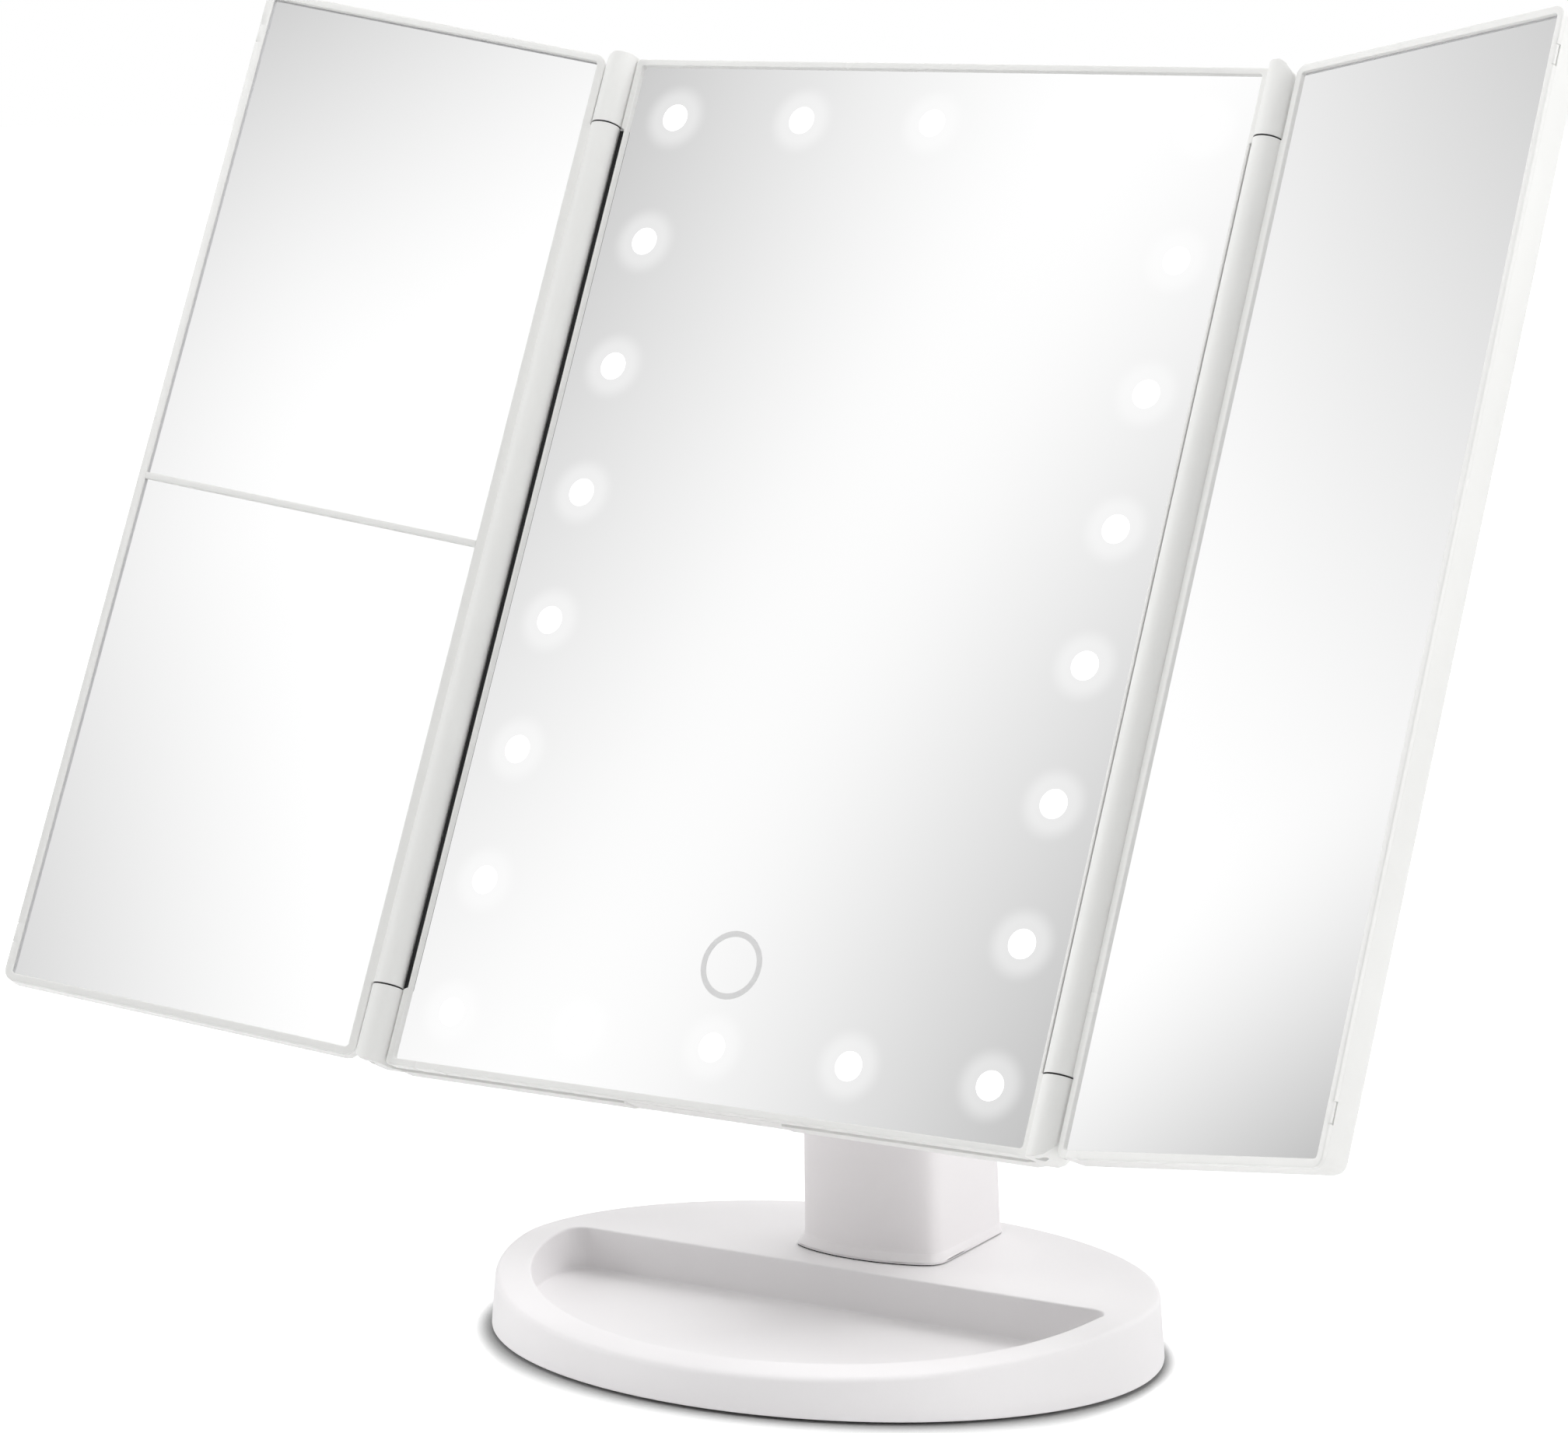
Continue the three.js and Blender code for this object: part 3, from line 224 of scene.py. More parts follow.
def makeWorld(look):
    # the camera sees white; glossy rays see a white studio with dark flags and a greyer horizon
    world = bpy.data.worlds.new("studio")
    world.use_nodes = True
    tree = world.node_tree
    tree.nodes.clear()
    rays = add(tree, "ShaderNodeLightPath")
    plain = add(tree, "ShaderNodeBackground", {"Color": white, "Strength": look["ambient"]})
    seen = add(tree, "ShaderNodeBackground", {"Color": white, "Strength": 1.0})
    direction = add(tree, "ShaderNodeTexCoord").outputs["Generated"]
    height = add(tree, "ShaderNodeSeparateXYZ", [direction]).outputs[2]
    low, high = look["horizonHeights"]
    level = add(tree, "ShaderNodeMapRange", [
        height, low, high, look["white"] - look["horizon"], look["white"],
    ], interpolation_type="SMOOTHSTEP")
    for flag in look["flags"]:
        dark = flagShade(tree, direction, *flag)
        level = add(tree, "ShaderNodeMath", [level, dark], operation="SUBTRACT")
    level = add(tree, "ShaderNodeMath", [level, look["least"]], operation="MAXIMUM")
    shade = add(tree, "ShaderNodeBackground", {"Color": white, "Strength": level})
    gloss = add(tree, "ShaderNodeMath", [
        rays.outputs["Is Glossy Ray"], rays.outputs["Is Transmission Ray"],
    ], operation="MAXIMUM")
    other = add(tree, "ShaderNodeMixShader", [gloss, plain, shade])
    shown = add(tree, "ShaderNodeMixShader", [rays.outputs["Is Camera Ray"], other, seen])
    add(tree, "ShaderNodeOutputWorld", {"Surface": shown})
    bpy.context.scene.world = world


paperLook = {
    "radius": 8,
    "sides": 64,
    "colour": "FAFAFA",
    # the paper's tooth: its size in mm, coarser than the real one, its strength and depth in mm
    "tooth": 1.111,
    "toothRise": 0.1,
    "toothDepth": 0.1,
    # how far the open paper is lifted to white, and the share of the plain paper under that
    "lift": 1.05,
    "share": 0.3,
    # reach of the contact shadow in mm, at the middle and at the sides, and how far out across
    # the view it changes from one to the other
    "contact": (26, 5),
    "ends": (35, 76),
    # openness at which the lift starts and is full, and the rays that measure it
    "crowded": 0.57,
    "free": 0.93,
    "samples": 12,
    # metres from the object between which the paper is lifted further
    "near": 0.2,
    "far": 0.6,
}


def makeFloor(look):
    # matt paper, no shine: it takes the object's shadow and is lifted to white where it lies open
    paper, tree, place = newMaterial("mattStudioPaper")
    tooth = add(tree, "ShaderNodeTexNoise", {
        "Vector": place, "Scale": 1 / (look["tooth"] * mm), "Detail": 3,
    })
    rise = add(tree, "ShaderNodeBump", {
        "Height": tooth, "Strength": look["toothRise"], "Distance": look["toothDepth"] * mm,
    })
    sheet = add(tree, "ShaderNodeBsdfDiffuse", {"Color": toLinear(look["colour"]), "Normal": rise})
    turn = math.radians(cameraLook["azimuth"])
    along = add(tree, "ShaderNodeVectorMath", [
        place, (math.cos(turn), math.sin(turn), 0),
    ], operation="DOT_PRODUCT")
    out = add(tree, "ShaderNodeMath", [along.outputs["Value"]], operation="ABSOLUTE")
    reach = add(tree, "ShaderNodeMapRange", [
        out, look["ends"][0] * mm, look["ends"][1] * mm, look["contact"][0] * mm,
        look["contact"][1] * mm,
    ])
    crowd = add(tree, "ShaderNodeAmbientOcclusion", {"Distance": reach}, samples=look["samples"])
    lift = add(tree, "ShaderNodeMapRange", [
        crowd.outputs["AO"], look["crowded"], look["free"], 0, look["lift"],
    ])
    away = add(tree, "ShaderNodeVectorMath", [place], operation="LENGTH")
    # far from the object the lamps fall off
    fade = add(tree, "ShaderNodeMapRange", [
        away.outputs["Value"], look["near"], look["far"], 0, look["share"],
    ])
    level = add(tree, "ShaderNodeMath", [lift, fade], operation="ADD")
    glow = add(tree, "ShaderNodeEmission", {"Color": white, "Strength": level})
    dim = add(tree, "ShaderNodeMixShader", {0: look["share"], 2: sheet})
    both = add(tree, "ShaderNodeAddShader", [dim, glow])
    rays = add(tree, "ShaderNodeLightPath").outputs["Is Camera Ray"]
    shown = add(tree, "ShaderNodeMixShader", [rays, sheet, both])
    add(tree, "ShaderNodeOutputMaterial", {"Surface": shown})
    sides, radius = look["sides"], look["radius"]
    bpy.ops.mesh.primitive_circle_add(vertices=sides, radius=radius, fill_type="NGON")
    floor = bpy.context.object
    floor.name = "paperFloor"
    floor.data.materials.append(paper)


for lamp in studioLook["lamps"]:
    makeLamp(*lamp)
makeWorld(studioLook)
makeFloor(paperLook)
bpy.context.scene.view_settings.view_transform = "Standard"
print("studio built")

plasticLook = {
    # sizes in mm: the cloudy flow of the melt and the slow change of its gloss
    "flow": 38,
    "wave": 14,
    "glossSpread": 0.05,
    "grainRoughness": 0.6,
    "grainRise": 0.6,
    "ior": 1.52,
}


def mouldedPlastic(name, colour, roughness, grain, depth, swirl):
    # injection-moulded: an even colour, faintly mottled; grain is the tool's texture in mm
    made, tree, place = newMaterial(name)
    flow = add(tree, "ShaderNodeTexNoise", {
        "Vector": place, "Scale": 1 / (plasticLook["flow"] * mm), "Detail": 2,
    })
    tone = add(tree, "ShaderNodeMix", {
        "Factor": flow, 6: toLinear(colour), 7: toLinear(swirl),
    }, data_type="RGBA")
    spark = add(tree, "ShaderNodeTexNoise", {
        "Vector": place, "Scale": 1 / (grain * mm), "Detail": 2,
        "Roughness": plasticLook["grainRoughness"],
    })
    wave = add(tree, "ShaderNodeTexNoise", {
        "Vector": place, "Scale": 1 / (plasticLook["wave"] * mm), "Detail": 1,
    })
    gloss = add(tree, "ShaderNodeMapRange", {
        "Value": wave, "To Min": roughness - plasticLook["glossSpread"],
        "To Max": roughness + plasticLook["glossSpread"],
    })
    rise = add(tree, "ShaderNodeBump", {
        "Height": spark, "Strength": plasticLook["grainRise"], "Distance": depth * mm,
    })
    surface = add(tree, "ShaderNodeBsdfPrincipled", {
        "Base Color": tone.outputs[2], "Roughness": gloss, "IOR": plasticLook["ior"],
        "Normal": rise,
    })
    add(tree, "ShaderNodeOutputMaterial", {"Surface": surface})
    return made


metalLook = {"glossSpread": 0.08, "markRise": 0.3, "markDepth": 0.02}


def platedMetal(name, colour, roughness, grain):
    # plated or bare metal: fine turning marks across the shine, grain apart in mm
    made, tree, place = newMaterial(name)
    marks = add(tree, "ShaderNodeTexNoise", {
        "Vector": place, "Scale": 1 / (grain * mm), "Detail": 3,
    })
    gloss = add(tree, "ShaderNodeMapRange", {
        "Value": marks, "To Min": roughness - metalLook["glossSpread"],
        "To Max": roughness + metalLook["glossSpread"],
    })
    rise = add(tree, "ShaderNodeBump", {
        "Height": marks, "Strength": metalLook["markRise"], "Distance": metalLook["markDepth"] * mm,
    })
    surface = add(tree, "ShaderNodeBsdfPrincipled", {
        "Base Color": toLinear(colour), "Metallic": 1.0, "Roughness": gloss, "Normal": rise,
    })
    add(tree, "ShaderNodeOutputMaterial", {"Surface": surface})
    return made


lampLook = {
    # the grid whose border the lamps stand on: its spacing in mm, and in spacings its first and
    # last lines, how far off the middle line 0 is, and the distance past which its end lines are
    "pitchAcross": 34.03,
    "pitchUp": 30.11,
    "linesAcross": (-2, 2),
    "linesUp": (-4, 3),
    "offAcross": 0,
    "offUp": 0.5,
    "endAcross": 1.5,
    "endUp": 3.2,
    # a painted glow round a window, for light that spreads in the glass: from and to radii in mm,
    # share of the glass and strength
    "halo": (4.6, 8.8),
    "paintedGlow": 0.38,
    "glow": 1.03,
    "tint": "F4F4F4",
    "roughness": 0.015,
}


def litSilveredGlass(look):
    # silvered float glass, lit from behind: a clear reflection, with a painted glow round each
    # etched window
    made, tree, place = newMaterial("litSilveredGlass")
    flat = add(tree, "ShaderNodeMapping", {
        "Vector": place, "Location": headLook["centre"], "Rotation": (headTurn, 0, 0),
        "Scale": (mm, mm, mm),
    }, vector_type="TEXTURE")
    axes = add(tree, "ShaderNodeSeparateXYZ", [flat])

    def nearest(axis, pitch, offset, lines):
        # distance to the nearest lamp line, and how far out that line stands
        cell = add(tree, "ShaderNodeMath", [axis, pitch], operation="DIVIDE")
        moved = add(tree, "ShaderNodeMath", [cell, offset], operation="SUBTRACT")
        whole = add(tree, "ShaderNodeMath", [moved], operation="ROUND")
        kept = add(tree, "ShaderNodeClamp", {"Value": whole, "Min": lines[0], "Max": lines[1]})
        line = add(tree, "ShaderNodeMath", [kept, offset], operation="ADD")
        away = add(tree, "ShaderNodeMath", [line, -pitch, axis], operation="MULTIPLY_ADD")
        out = add(tree, "ShaderNodeMath", [line], operation="ABSOLUTE")
        return away, out

    across, up = axes.outputs[0], axes.outputs[1]
    awayX, outX = nearest(across, look["pitchAcross"], look["offAcross"], look["linesAcross"])
    awayY, outY = nearest(up, look["pitchUp"], look["offUp"], look["linesUp"])
    endColumn = add(tree, "ShaderNodeMath", [outX, look["endAcross"]], operation="GREATER_THAN")
    endRow = add(tree, "ShaderNodeMath", [outY, look["endUp"]], operation="GREATER_THAN")
    there = add(tree, "ShaderNodeMath", [endColumn, endRow], operation="MAXIMUM")
    spot = add(tree, "ShaderNodeCombineXYZ", [awayX, awayY])
    reach = add(tree, "ShaderNodeVectorMath", [spot], operation="LENGTH")
    halo = add(tree, "ShaderNodeMapRange", [
        reach.outputs["Value"], look["halo"][0], look["halo"][1], look["paintedGlow"], 0.0,
    ], interpolation_type="SMOOTHSTEP")
    # painted glow: round each window the silver darkens and the glass itself gives light
    paintedGlow = add(tree, "ShaderNodeMath", [halo, there], operation="MULTIPLY")
    light = add(tree, "ShaderNodeMath", [paintedGlow, look["glow"]], operation="MULTIPLY")
    silver = add(tree, "ShaderNodeMix", {
        "Factor": paintedGlow, 6: toLinear(look["tint"]), 7: (0, 0, 0, 1),
    }, data_type="RGBA")
    surface = add(tree, "ShaderNodeBsdfPrincipled", {
        "Base Color": silver.outputs[2], "Metallic": 1.0, "Roughness": look["roughness"],
        "Emission Color": white, "Emission Strength": light,
    })
    add(tree, "ShaderNodeOutputMaterial", {"Surface": surface})
    return made


glassLook = {"tint": "F4F4F4", "haze": 30, "roughness": (0.01, 0.02)}


def silveredGlass(look):
    # plain silvered float glass: a clear reflection with a trace of haze, patches in mm
    made, tree, place = newMaterial("silveredGlass")
    haze = add(tree, "ShaderNodeTexNoise", {
        "Vector": place, "Scale": 1 / (look["haze"] * mm), "Detail": 2,
    })
    low, high = look["roughness"]
    gloss = add(tree, "ShaderNodeMapRange", {"Value": haze, "To Min": low, "To Max": high})
    surface = add(tree, "ShaderNodeBsdfPrincipled", {
        "Base Color": toLinear(look["tint"]), "Metallic": 1.0, "Roughness": gloss,
    })
    add(tree, "ShaderNodeOutputMaterial", {"Surface": surface})
    return made


opalLook = {"colour": "FFFFFF", "frost": 0.2, "level": (1.0, 1.2), "roughness": 0.4}


def etchedOpal(look):
    # glass etched through its silver and lit from behind: an even white disc, its frost in mm
    made, tree, place = newMaterial("etchedLitGlass")
    frost = add(tree, "ShaderNodeTexNoise", {
        "Vector": place, "Scale": 1 / (look["frost"] * mm), "Detail": 2,
    })
    low, high = look["level"]
    level = add(tree, "ShaderNodeMapRange", {"Value": frost, "To Min": low, "To Max": high})
    surface = add(tree, "ShaderNodeBsdfPrincipled", {
        "Base Color": toLinear(look["colour"]), "Roughness": look["roughness"],
        "Emission Color": white, "Emission Strength": level,
    })
    add(tree, "ShaderNodeOutputMaterial", {"Surface": surface})
    return made


finish = {
    # plastics: name, colour, roughness, tool's grain and its depth in mm, colour of the swirls;
    # a grain is drawn a few times coarser than the real one, so that it shows
    # ABS from a spark-eroded tool: matt white with a fine grain
    "baseAbs": mouldedPlastic("sparkTexturedAbs", "F4F2F3", 0.42, 0.5, 0.02, "EFEDEE"),
    # ABS with the column's finer tool texture: a satin white
    "columnAbs": mouldedPlastic("satinAbs", "F3F0F1", 0.42, 0.35, 0.008, "EEEBEC"),
    # ABS with the backs' finest texture: satin, a little glossier
    "shellAbs": mouldedPlastic("fineSatinAbs", "F4F4F2", 0.38, 0.3, 0.006, "EDEDEB"),
    # ABS from the frames' polished tool: a soft gloss with slight long waves
    "frameAbs": mouldedPlastic("polishedAbs", "F5F5F3", 0.25, 2.5, 0.004, "EEEEEC"),
    # painted shade: a thin grey strip on the glass along the frame, standing for the frame's shadow
    # there; dull
    "paintedShadeGrey": mouldedPlastic("paintedShadeStrip", "CFCFD0", 0.6, 0.4, 0.004, "C8C8CA"),
    # black ABS of the holder and switch: dull, with a plain grain
    "blackAbs": mouldedPlastic("blackAbs", "29292B", 0.5, 0.4, 0.01, "323234"),
    # painted shade: black filler in gaps and seams, for the shadow deep in them; nearly no shine
    "paintedShadeBlack": mouldedPlastic("paintedShadeFiller", "0C0C0D", 0.85, 0.5, 0.01, "111112"),
    # acetal washers: a waxy warm white
    "acetal": mouldedPlastic("whiteAcetal", "EDEBE6", 0.35, 0.4, 0.004, "E6E4DE"),
    # pressed silicone pads: dull warm grey with a rough skin
    "padRubber": mouldedPlastic("siliconeRubber", "D5D3CF", 0.75, 0.6, 0.02, "CBC9C4"),
    # opal sheet behind the glass: even and cool
    "diffuser": mouldedPlastic("opalPolycarbonate", "F5F6F6", 0.5, 0.4, 0.004, "EFF1F2"),
    # white solder mask of the lamp board: smooth, over a faint weave
    "lampBoard": mouldedPlastic("whiteSolderMask", "EEF0EF", 0.35, 0.8, 0.01, "E3E6E4"),
    # green solder mask of the small boards
    "greenBoard": mouldedPlastic("greenSolderMask", "1F5B3C", 0.3, 0.8, 0.02, "2F7A4F"),
    # printed grey ring on the glass: smooth ink
    "ringPrint": mouldedPlastic("greyRingPrint", "E4E4E4", 0.35, 0.4, 0.002, "DEDEDE"),
    # metals: name, colour, roughness, spacing of the marks in mm, coarser than real ones to show
    # zinc plating on screws, pins and axle: a cool soft shine
    "zincSteel": platedMetal("zincPlatedSteel", "C4C7CA", 0.32, 0.4),
    # nickel plating on contacts and inlet: warmer and brighter
    "nickel": platedMetal("nickelPlate", "D2CFC8", 0.25, 0.5),
    # blackened steel of the ballast: dark and dull
    "rawSteel": platedMetal("blackenedSteel", "6D7074", 0.5, 1.2),
    # the cells' printed cans: plain silver-grey
    "cellCan": platedMetal("printedCellCan", "9A9DA2", 0.35, 0.6),
    # copper foil of the touch pad: reddish and soft
    "copper": platedMetal("copperFoil", "C98C4A", 0.35, 0.6),
    # glasses: a cool clear reflection, and white light where the silver is etched away
    "litGlass": litSilveredGlass(lampLook),
    "glass": silveredGlass(glassLook),
    "opal": etchedOpal(opalLook),
}
print("finishes made:", len(finish))

nodeFinish = {
    "baseAbs": ["base_shell", "base_bottom_plate"],
    "columnAbs": ["neck_shell", "battery_door", "neck_lock_plate"],
    "shellAbs": ["head_back_shell", "left_wing_shell", "right_wing_shell"],
    "frameAbs": ["head_front_bezel", "left_wing_bezel", "right_wing_bezel"],
    "blackAbs": ["battery_holder", "switch_slider", "switch_body"],
    "acetal": ["tilt_washer_left", "tilt_washer_right"],
    "padRubber": ["foot_pad_1", "foot_pad_2", "foot_pad_3", "foot_pad_4"],
    "diffuser": ["light_diffuser"],
    "lampBoard": ["led_board"],
    "greenBoard": ["power_board", "control_board"],
    "zincSteel": [
        "base_screw_1", "base_screw_2", "base_screw_3", "base_screw_4",
        "neck_screw_1", "neck_screw_2", "tilt_axle", "tilt_nut",
        "hinge_pin_left_bottom", "hinge_pin_left_top",
        "hinge_pin_right_bottom", "hinge_pin_right_top",
    ],
    "nickel": ["usb_socket", "contact_strip_bottom", "contact_strip_top"],
    "rawSteel": ["ballast_plate"],
    "cellCan": ["battery_cell_1", "battery_cell_2", "battery_cell_3", "battery_cell_4"],
    "copper": ["touch_pad"],
    "litGlass": ["centre_mirror"],
    "glass": ["left_lower_mirror", "left_upper_mirror", "right_mirror"],
}
for name, members in nodeFinish.items():
    for member in members:
        nodes[member].data.materials.clear()
        nodes[member].data.materials.append(finish[name])
plainNodes = sorted(set(nodes) - {member for members in nodeFinish.values() for member in members})
print("nodes left plain:", plainNodes)

# where the catches' tunnels cross a wing's outer wall, in the wing's frame in mm
catchLook = {
    "across": 83.95,
    "thick": 0.45,
    "along": 108.0,
    "half": 2.6,
    "level": -3.25,
    "tall": 0.8,
}


def closeCatches(work, place, look=catchLook):
    # the catches don't come through the wing's outer wall in the photograph: tunnels are closed
    tunnels = []
    for face in work.faces:
        middle = place.inverted() @ face.calc_center_median() / mm
        across = abs(abs(middle.x) - look["across"]) < look["thick"]
        along = abs(abs(middle.y) - look["along"]) < look["half"]
        if across and along and abs(middle.z - look["level"]) < look["tall"]:
            tunnels.append(face)
    bmesh.ops.delete(work, geom=tunnels, context="FACES")
    bmesh.ops.holes_fill(work, edges=[edge for edge in work.edges if edge.is_boundary], sides=0)
    bmesh.ops.recalc_face_normals(work, faces=work.faces)


columnFit = {
    # the photographed column is narrower and flatter in front, and its flare fades to the rear
    "narrow": 0.055,
    "rear": 53.0,
    "depth": 32.5,
    "flatten": 2.0,
    "halfWidth": 19.0,
    "middle": 33.5,
    "ahead": 13.0,
    "fade": 0.75,
    "fadeFrom": 25.0,
    "fadeOver": 20.0,
    "body": 0.933,
    # height and size of the node's flare, ring by ring
    "flare": [(15.55, 1.0), (16.1, 1.0), (16.55, 0.963), (17.5, 0.941), (18.7, 0.933)],
}


def clipped(value):
    return min(max(value, 0.0), 1.0)


def fitted(x, y, size, look=columnFit):
    # where a point of the column's skin goes, when the skin's size there is given
    late = clipped((y - look["fadeFrom"]) / look["fadeOver"])
    shrink = 1 - look["fade"] * late * (1 - look["body"] / size)
    ahead = clipped((look["rear"] - y) / look["depth"])
    front = clipped((look["middle"] - y) / look["ahead"])
    newY = y - look["flatten"] * (x / look["halfWidth"]) ** 2 * front
    newX = x * (1 - look["narrow"] * ahead)
    return newX * shrink, look["middle"] + (newY - look["middle"]) * shrink


def flareAt(z, look=columnFit):
    # the size of the node's skin at a height, as a share of its foot
    rings = look["flare"]
    if z < rings[0][0] or z > rings[-1][0]:
        return look["body"]
    for (low, before), (high, after) in zip(rings, rings[1:]):
        if z <= high:
            return before + (after - before) * (z - low) / (high - low)


def fitColumn(work):
    # the column's copy takes the fitted plan, above the base's top
    place = standFrame.inverted()
    for vertex in work.verts:
        point = place @ vertex.co / mm
        if point.z > columnFit["flare"][0][0]:
            x, y = fitted(point.x, point.y, flareAt(point.z))
            vertex.co = standFrame @ (Vector((x, y, point.z)) * mm)


def skinned(name, corners, faces, material, body, sharp, change):
    # a smooth mesh; change edits it before its edges sharper than so many degrees are marked
    mesh = bpy.data.meshes.new(name)
    mesh.from_pydata(corners, [], faces)
    work = bmesh.new()
    work.from_mesh(mesh)
    change(work)
    for face in work.faces:
        face.smooth = True
    work.to_mesh(mesh)
    work.free()
    mesh.set_sharp_from_angle(angle=math.radians(sharp))
    mesh.materials.append(material)
    made = linked(name, mesh)
    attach(made, body)
    return made


# corners closer than "merge" in mm and faces within "flat" degrees become one; edges sharper than
# "sharp" degrees are rounded
softLook = {"merge": 0.004, "flat": 0.4, "sharp": 32, "steps": 2}


def softCopy(name, nodeName, width, change=None, look=softLook):
    # the node's surface with its flat faces joined and its hard edges rounded, as moulded
    source = nodes[nodeName]

    def cleaned(work):
        bmesh.ops.remove_doubles(work, verts=work.verts, dist=look["merge"] * mm)
        if change:
            change(work)
        flat = math.radians(look["flat"])
        bmesh.ops.dissolve_limit(work, angle_limit=flat, verts=work.verts, edges=work.edges)

    corners = [vertex.co for vertex in source.data.vertices]
    faces = [list(face.vertices) for face in source.data.polygons]
    material, body = source.data.materials[0], source["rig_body"]
    made = skinned(name, corners, faces, material, body, look["sharp"], cleaned)
    rounding = made.modifiers.new("rounding", "BEVEL")
    rounding.limit_method = "ANGLE"
    rounding.angle_limit = math.radians(look["sharp"])
    rounding.width = width * mm
    rounding.segments = look["steps"]
    rounding.harden_normals = True
    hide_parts(nodeName)


softShells = [
    # piece, node, rounding in mm, what else its copy needs
    ("column", "neck_shell", 0.35, fitColumn),
    ("batteryDoor", "battery_door", 0.25),
    ("headBack", "head_back_shell", 0.3),
    ("leftWingBack", "left_wing_shell", 0.3, lambda work: closeCatches(work, leftFrame)),
    ("rightWingBack", "right_wing_shell", 0.3, lambda work: closeCatches(work, rightFrame)),
    ("usbShell", "usb_socket", 0.12),
    ("switchKnob", "switch_slider", 0.2),
    ("tiltNut", "tilt_nut", 0.3),
    ("leftWasher", "tilt_washer_left", 0.1),
    ("rightWasher", "tilt_washer_right", 0.1),
]
for shell in softShells:
    softCopy(*shell)
print("shells softened:", len(softShells))

loftSharp = 38  # degrees: sharper edges of a lofted piece stay crisp


def outward(work):
    bmesh.ops.recalc_face_normals(work, faces=work.faces)


def ringLoft(name, rings, place, finishName, body, replaced=(), closed=False):
    # a skin through rings of points in mm; its ends are capped, or its last ring joins the first
    count = len(rings[0])
    corners = [place @ (Vector(point) * mm) for ring in rings for point in ring]
    faces = []
    for level in range(len(rings) if closed else len(rings) - 1):
        low = level * count
        high = ((level + 1) % len(rings)) * count
        for i in range(count):
            after = (i + 1) % count
            faces.append((low + i, low + after, high + after, high + i))
    if not closed:
        faces.append(tuple(range(count)))
        faces.append(tuple(range(len(corners) - count, len(corners))))
    made = skinned(name, corners, faces, finish[finishName], body, loftSharp, outward)
    if replaced:
        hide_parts(*replaced)
    return made


def quarter(radius, steps):
    # a quarter round as (drawn in, left over) pairs, from its upright side to its flat side
    turns = [math.pi / 2 * step / steps for step in range(steps + 1)]
    return [(radius * (1 - math.cos(turn)), radius * (1 - math.sin(turn))) for turn in turns]


baseLook = {
    "halfWidth": 78.3,
    "halfDepth": 62.0,
    "draft": 1.1,
    "low": 0.6,
    "foot": 0.6,
    "top": 15.3,
    "fallSlope": 0.12,
    "fallEase": 1.0,
    "wall": 2.0,
    "rim": 1.1,
    "trayHalfWidth": 69.4,
    "trayHalfDepth": 53.1,
    "trayBack": 4.5,
    "trayCorner": 4.0,
    "trayWall": 1.8,
    "trayRim": 0.45,
    "trayFloor": 5.7,
    "trayFillet": 0.5,
    # a point in the tray that sees every edge
    "eye": -18,
    # points along each part of the tray's outline, and rings over each edge or face
    "cornerSteps": 10,
    "backSteps": 64,
    "bowSteps": 110,
    "filletRings": 5,
    "trayRimRings": 4,
    "topRings": 12,
    "rimRings": 6,
    "footRings": 3,
    "underRings": 6,
}


def topAt(y, look=baseLook):
    # the top is level behind and falls on a long easy curve to the front edge
    drop = math.hypot(look["fallSlope"] * min(y, 0), look["fallEase"]) - look["fallEase"]
    return look["top"] - drop


def trayPlan(grow, look=baseLook):
    # the tray from above: rounded ends, a straight back wall and a bowed front
    wide = look["trayHalfWidth"] + grow
    deep = look["trayHalfDepth"] + grow
    corner = look["trayCorner"] + grow
    cornerY = look["trayBack"] - look["trayCorner"]
    cornerX = look["trayHalfWidth"] - look["trayCorner"]
    steps = look["cornerSteps"]
    end = [math.radians(90 * step / steps) for step in range(steps + 1)]
    right = [(cornerX + corner * math.cos(turn), cornerY + corner * math.sin(turn)) for turn in end]
    left = [(-x, y) for x, y in reversed(right)]
    rise = look["trayBack"] - look["eye"]
    first = math.atan2(rise, cornerX)
    back = []
    for step in range(1, look["backSteps"]):
        turn = first + (math.pi - 2 * first) * step / look["backSteps"]
        back.append((rise / math.tan(turn), look["trayBack"] + grow))
    start = math.atan2(right[0][1] / deep, right[0][0] / wide)
    bow = []
    for step in range(1, look["bowSteps"]):
        turn = math.pi - start + (math.pi + 2 * start) * step / look["bowSteps"]
        bow.append((wide * math.cos(turn), deep * math.sin(turn)))
    return right + back + left + bow


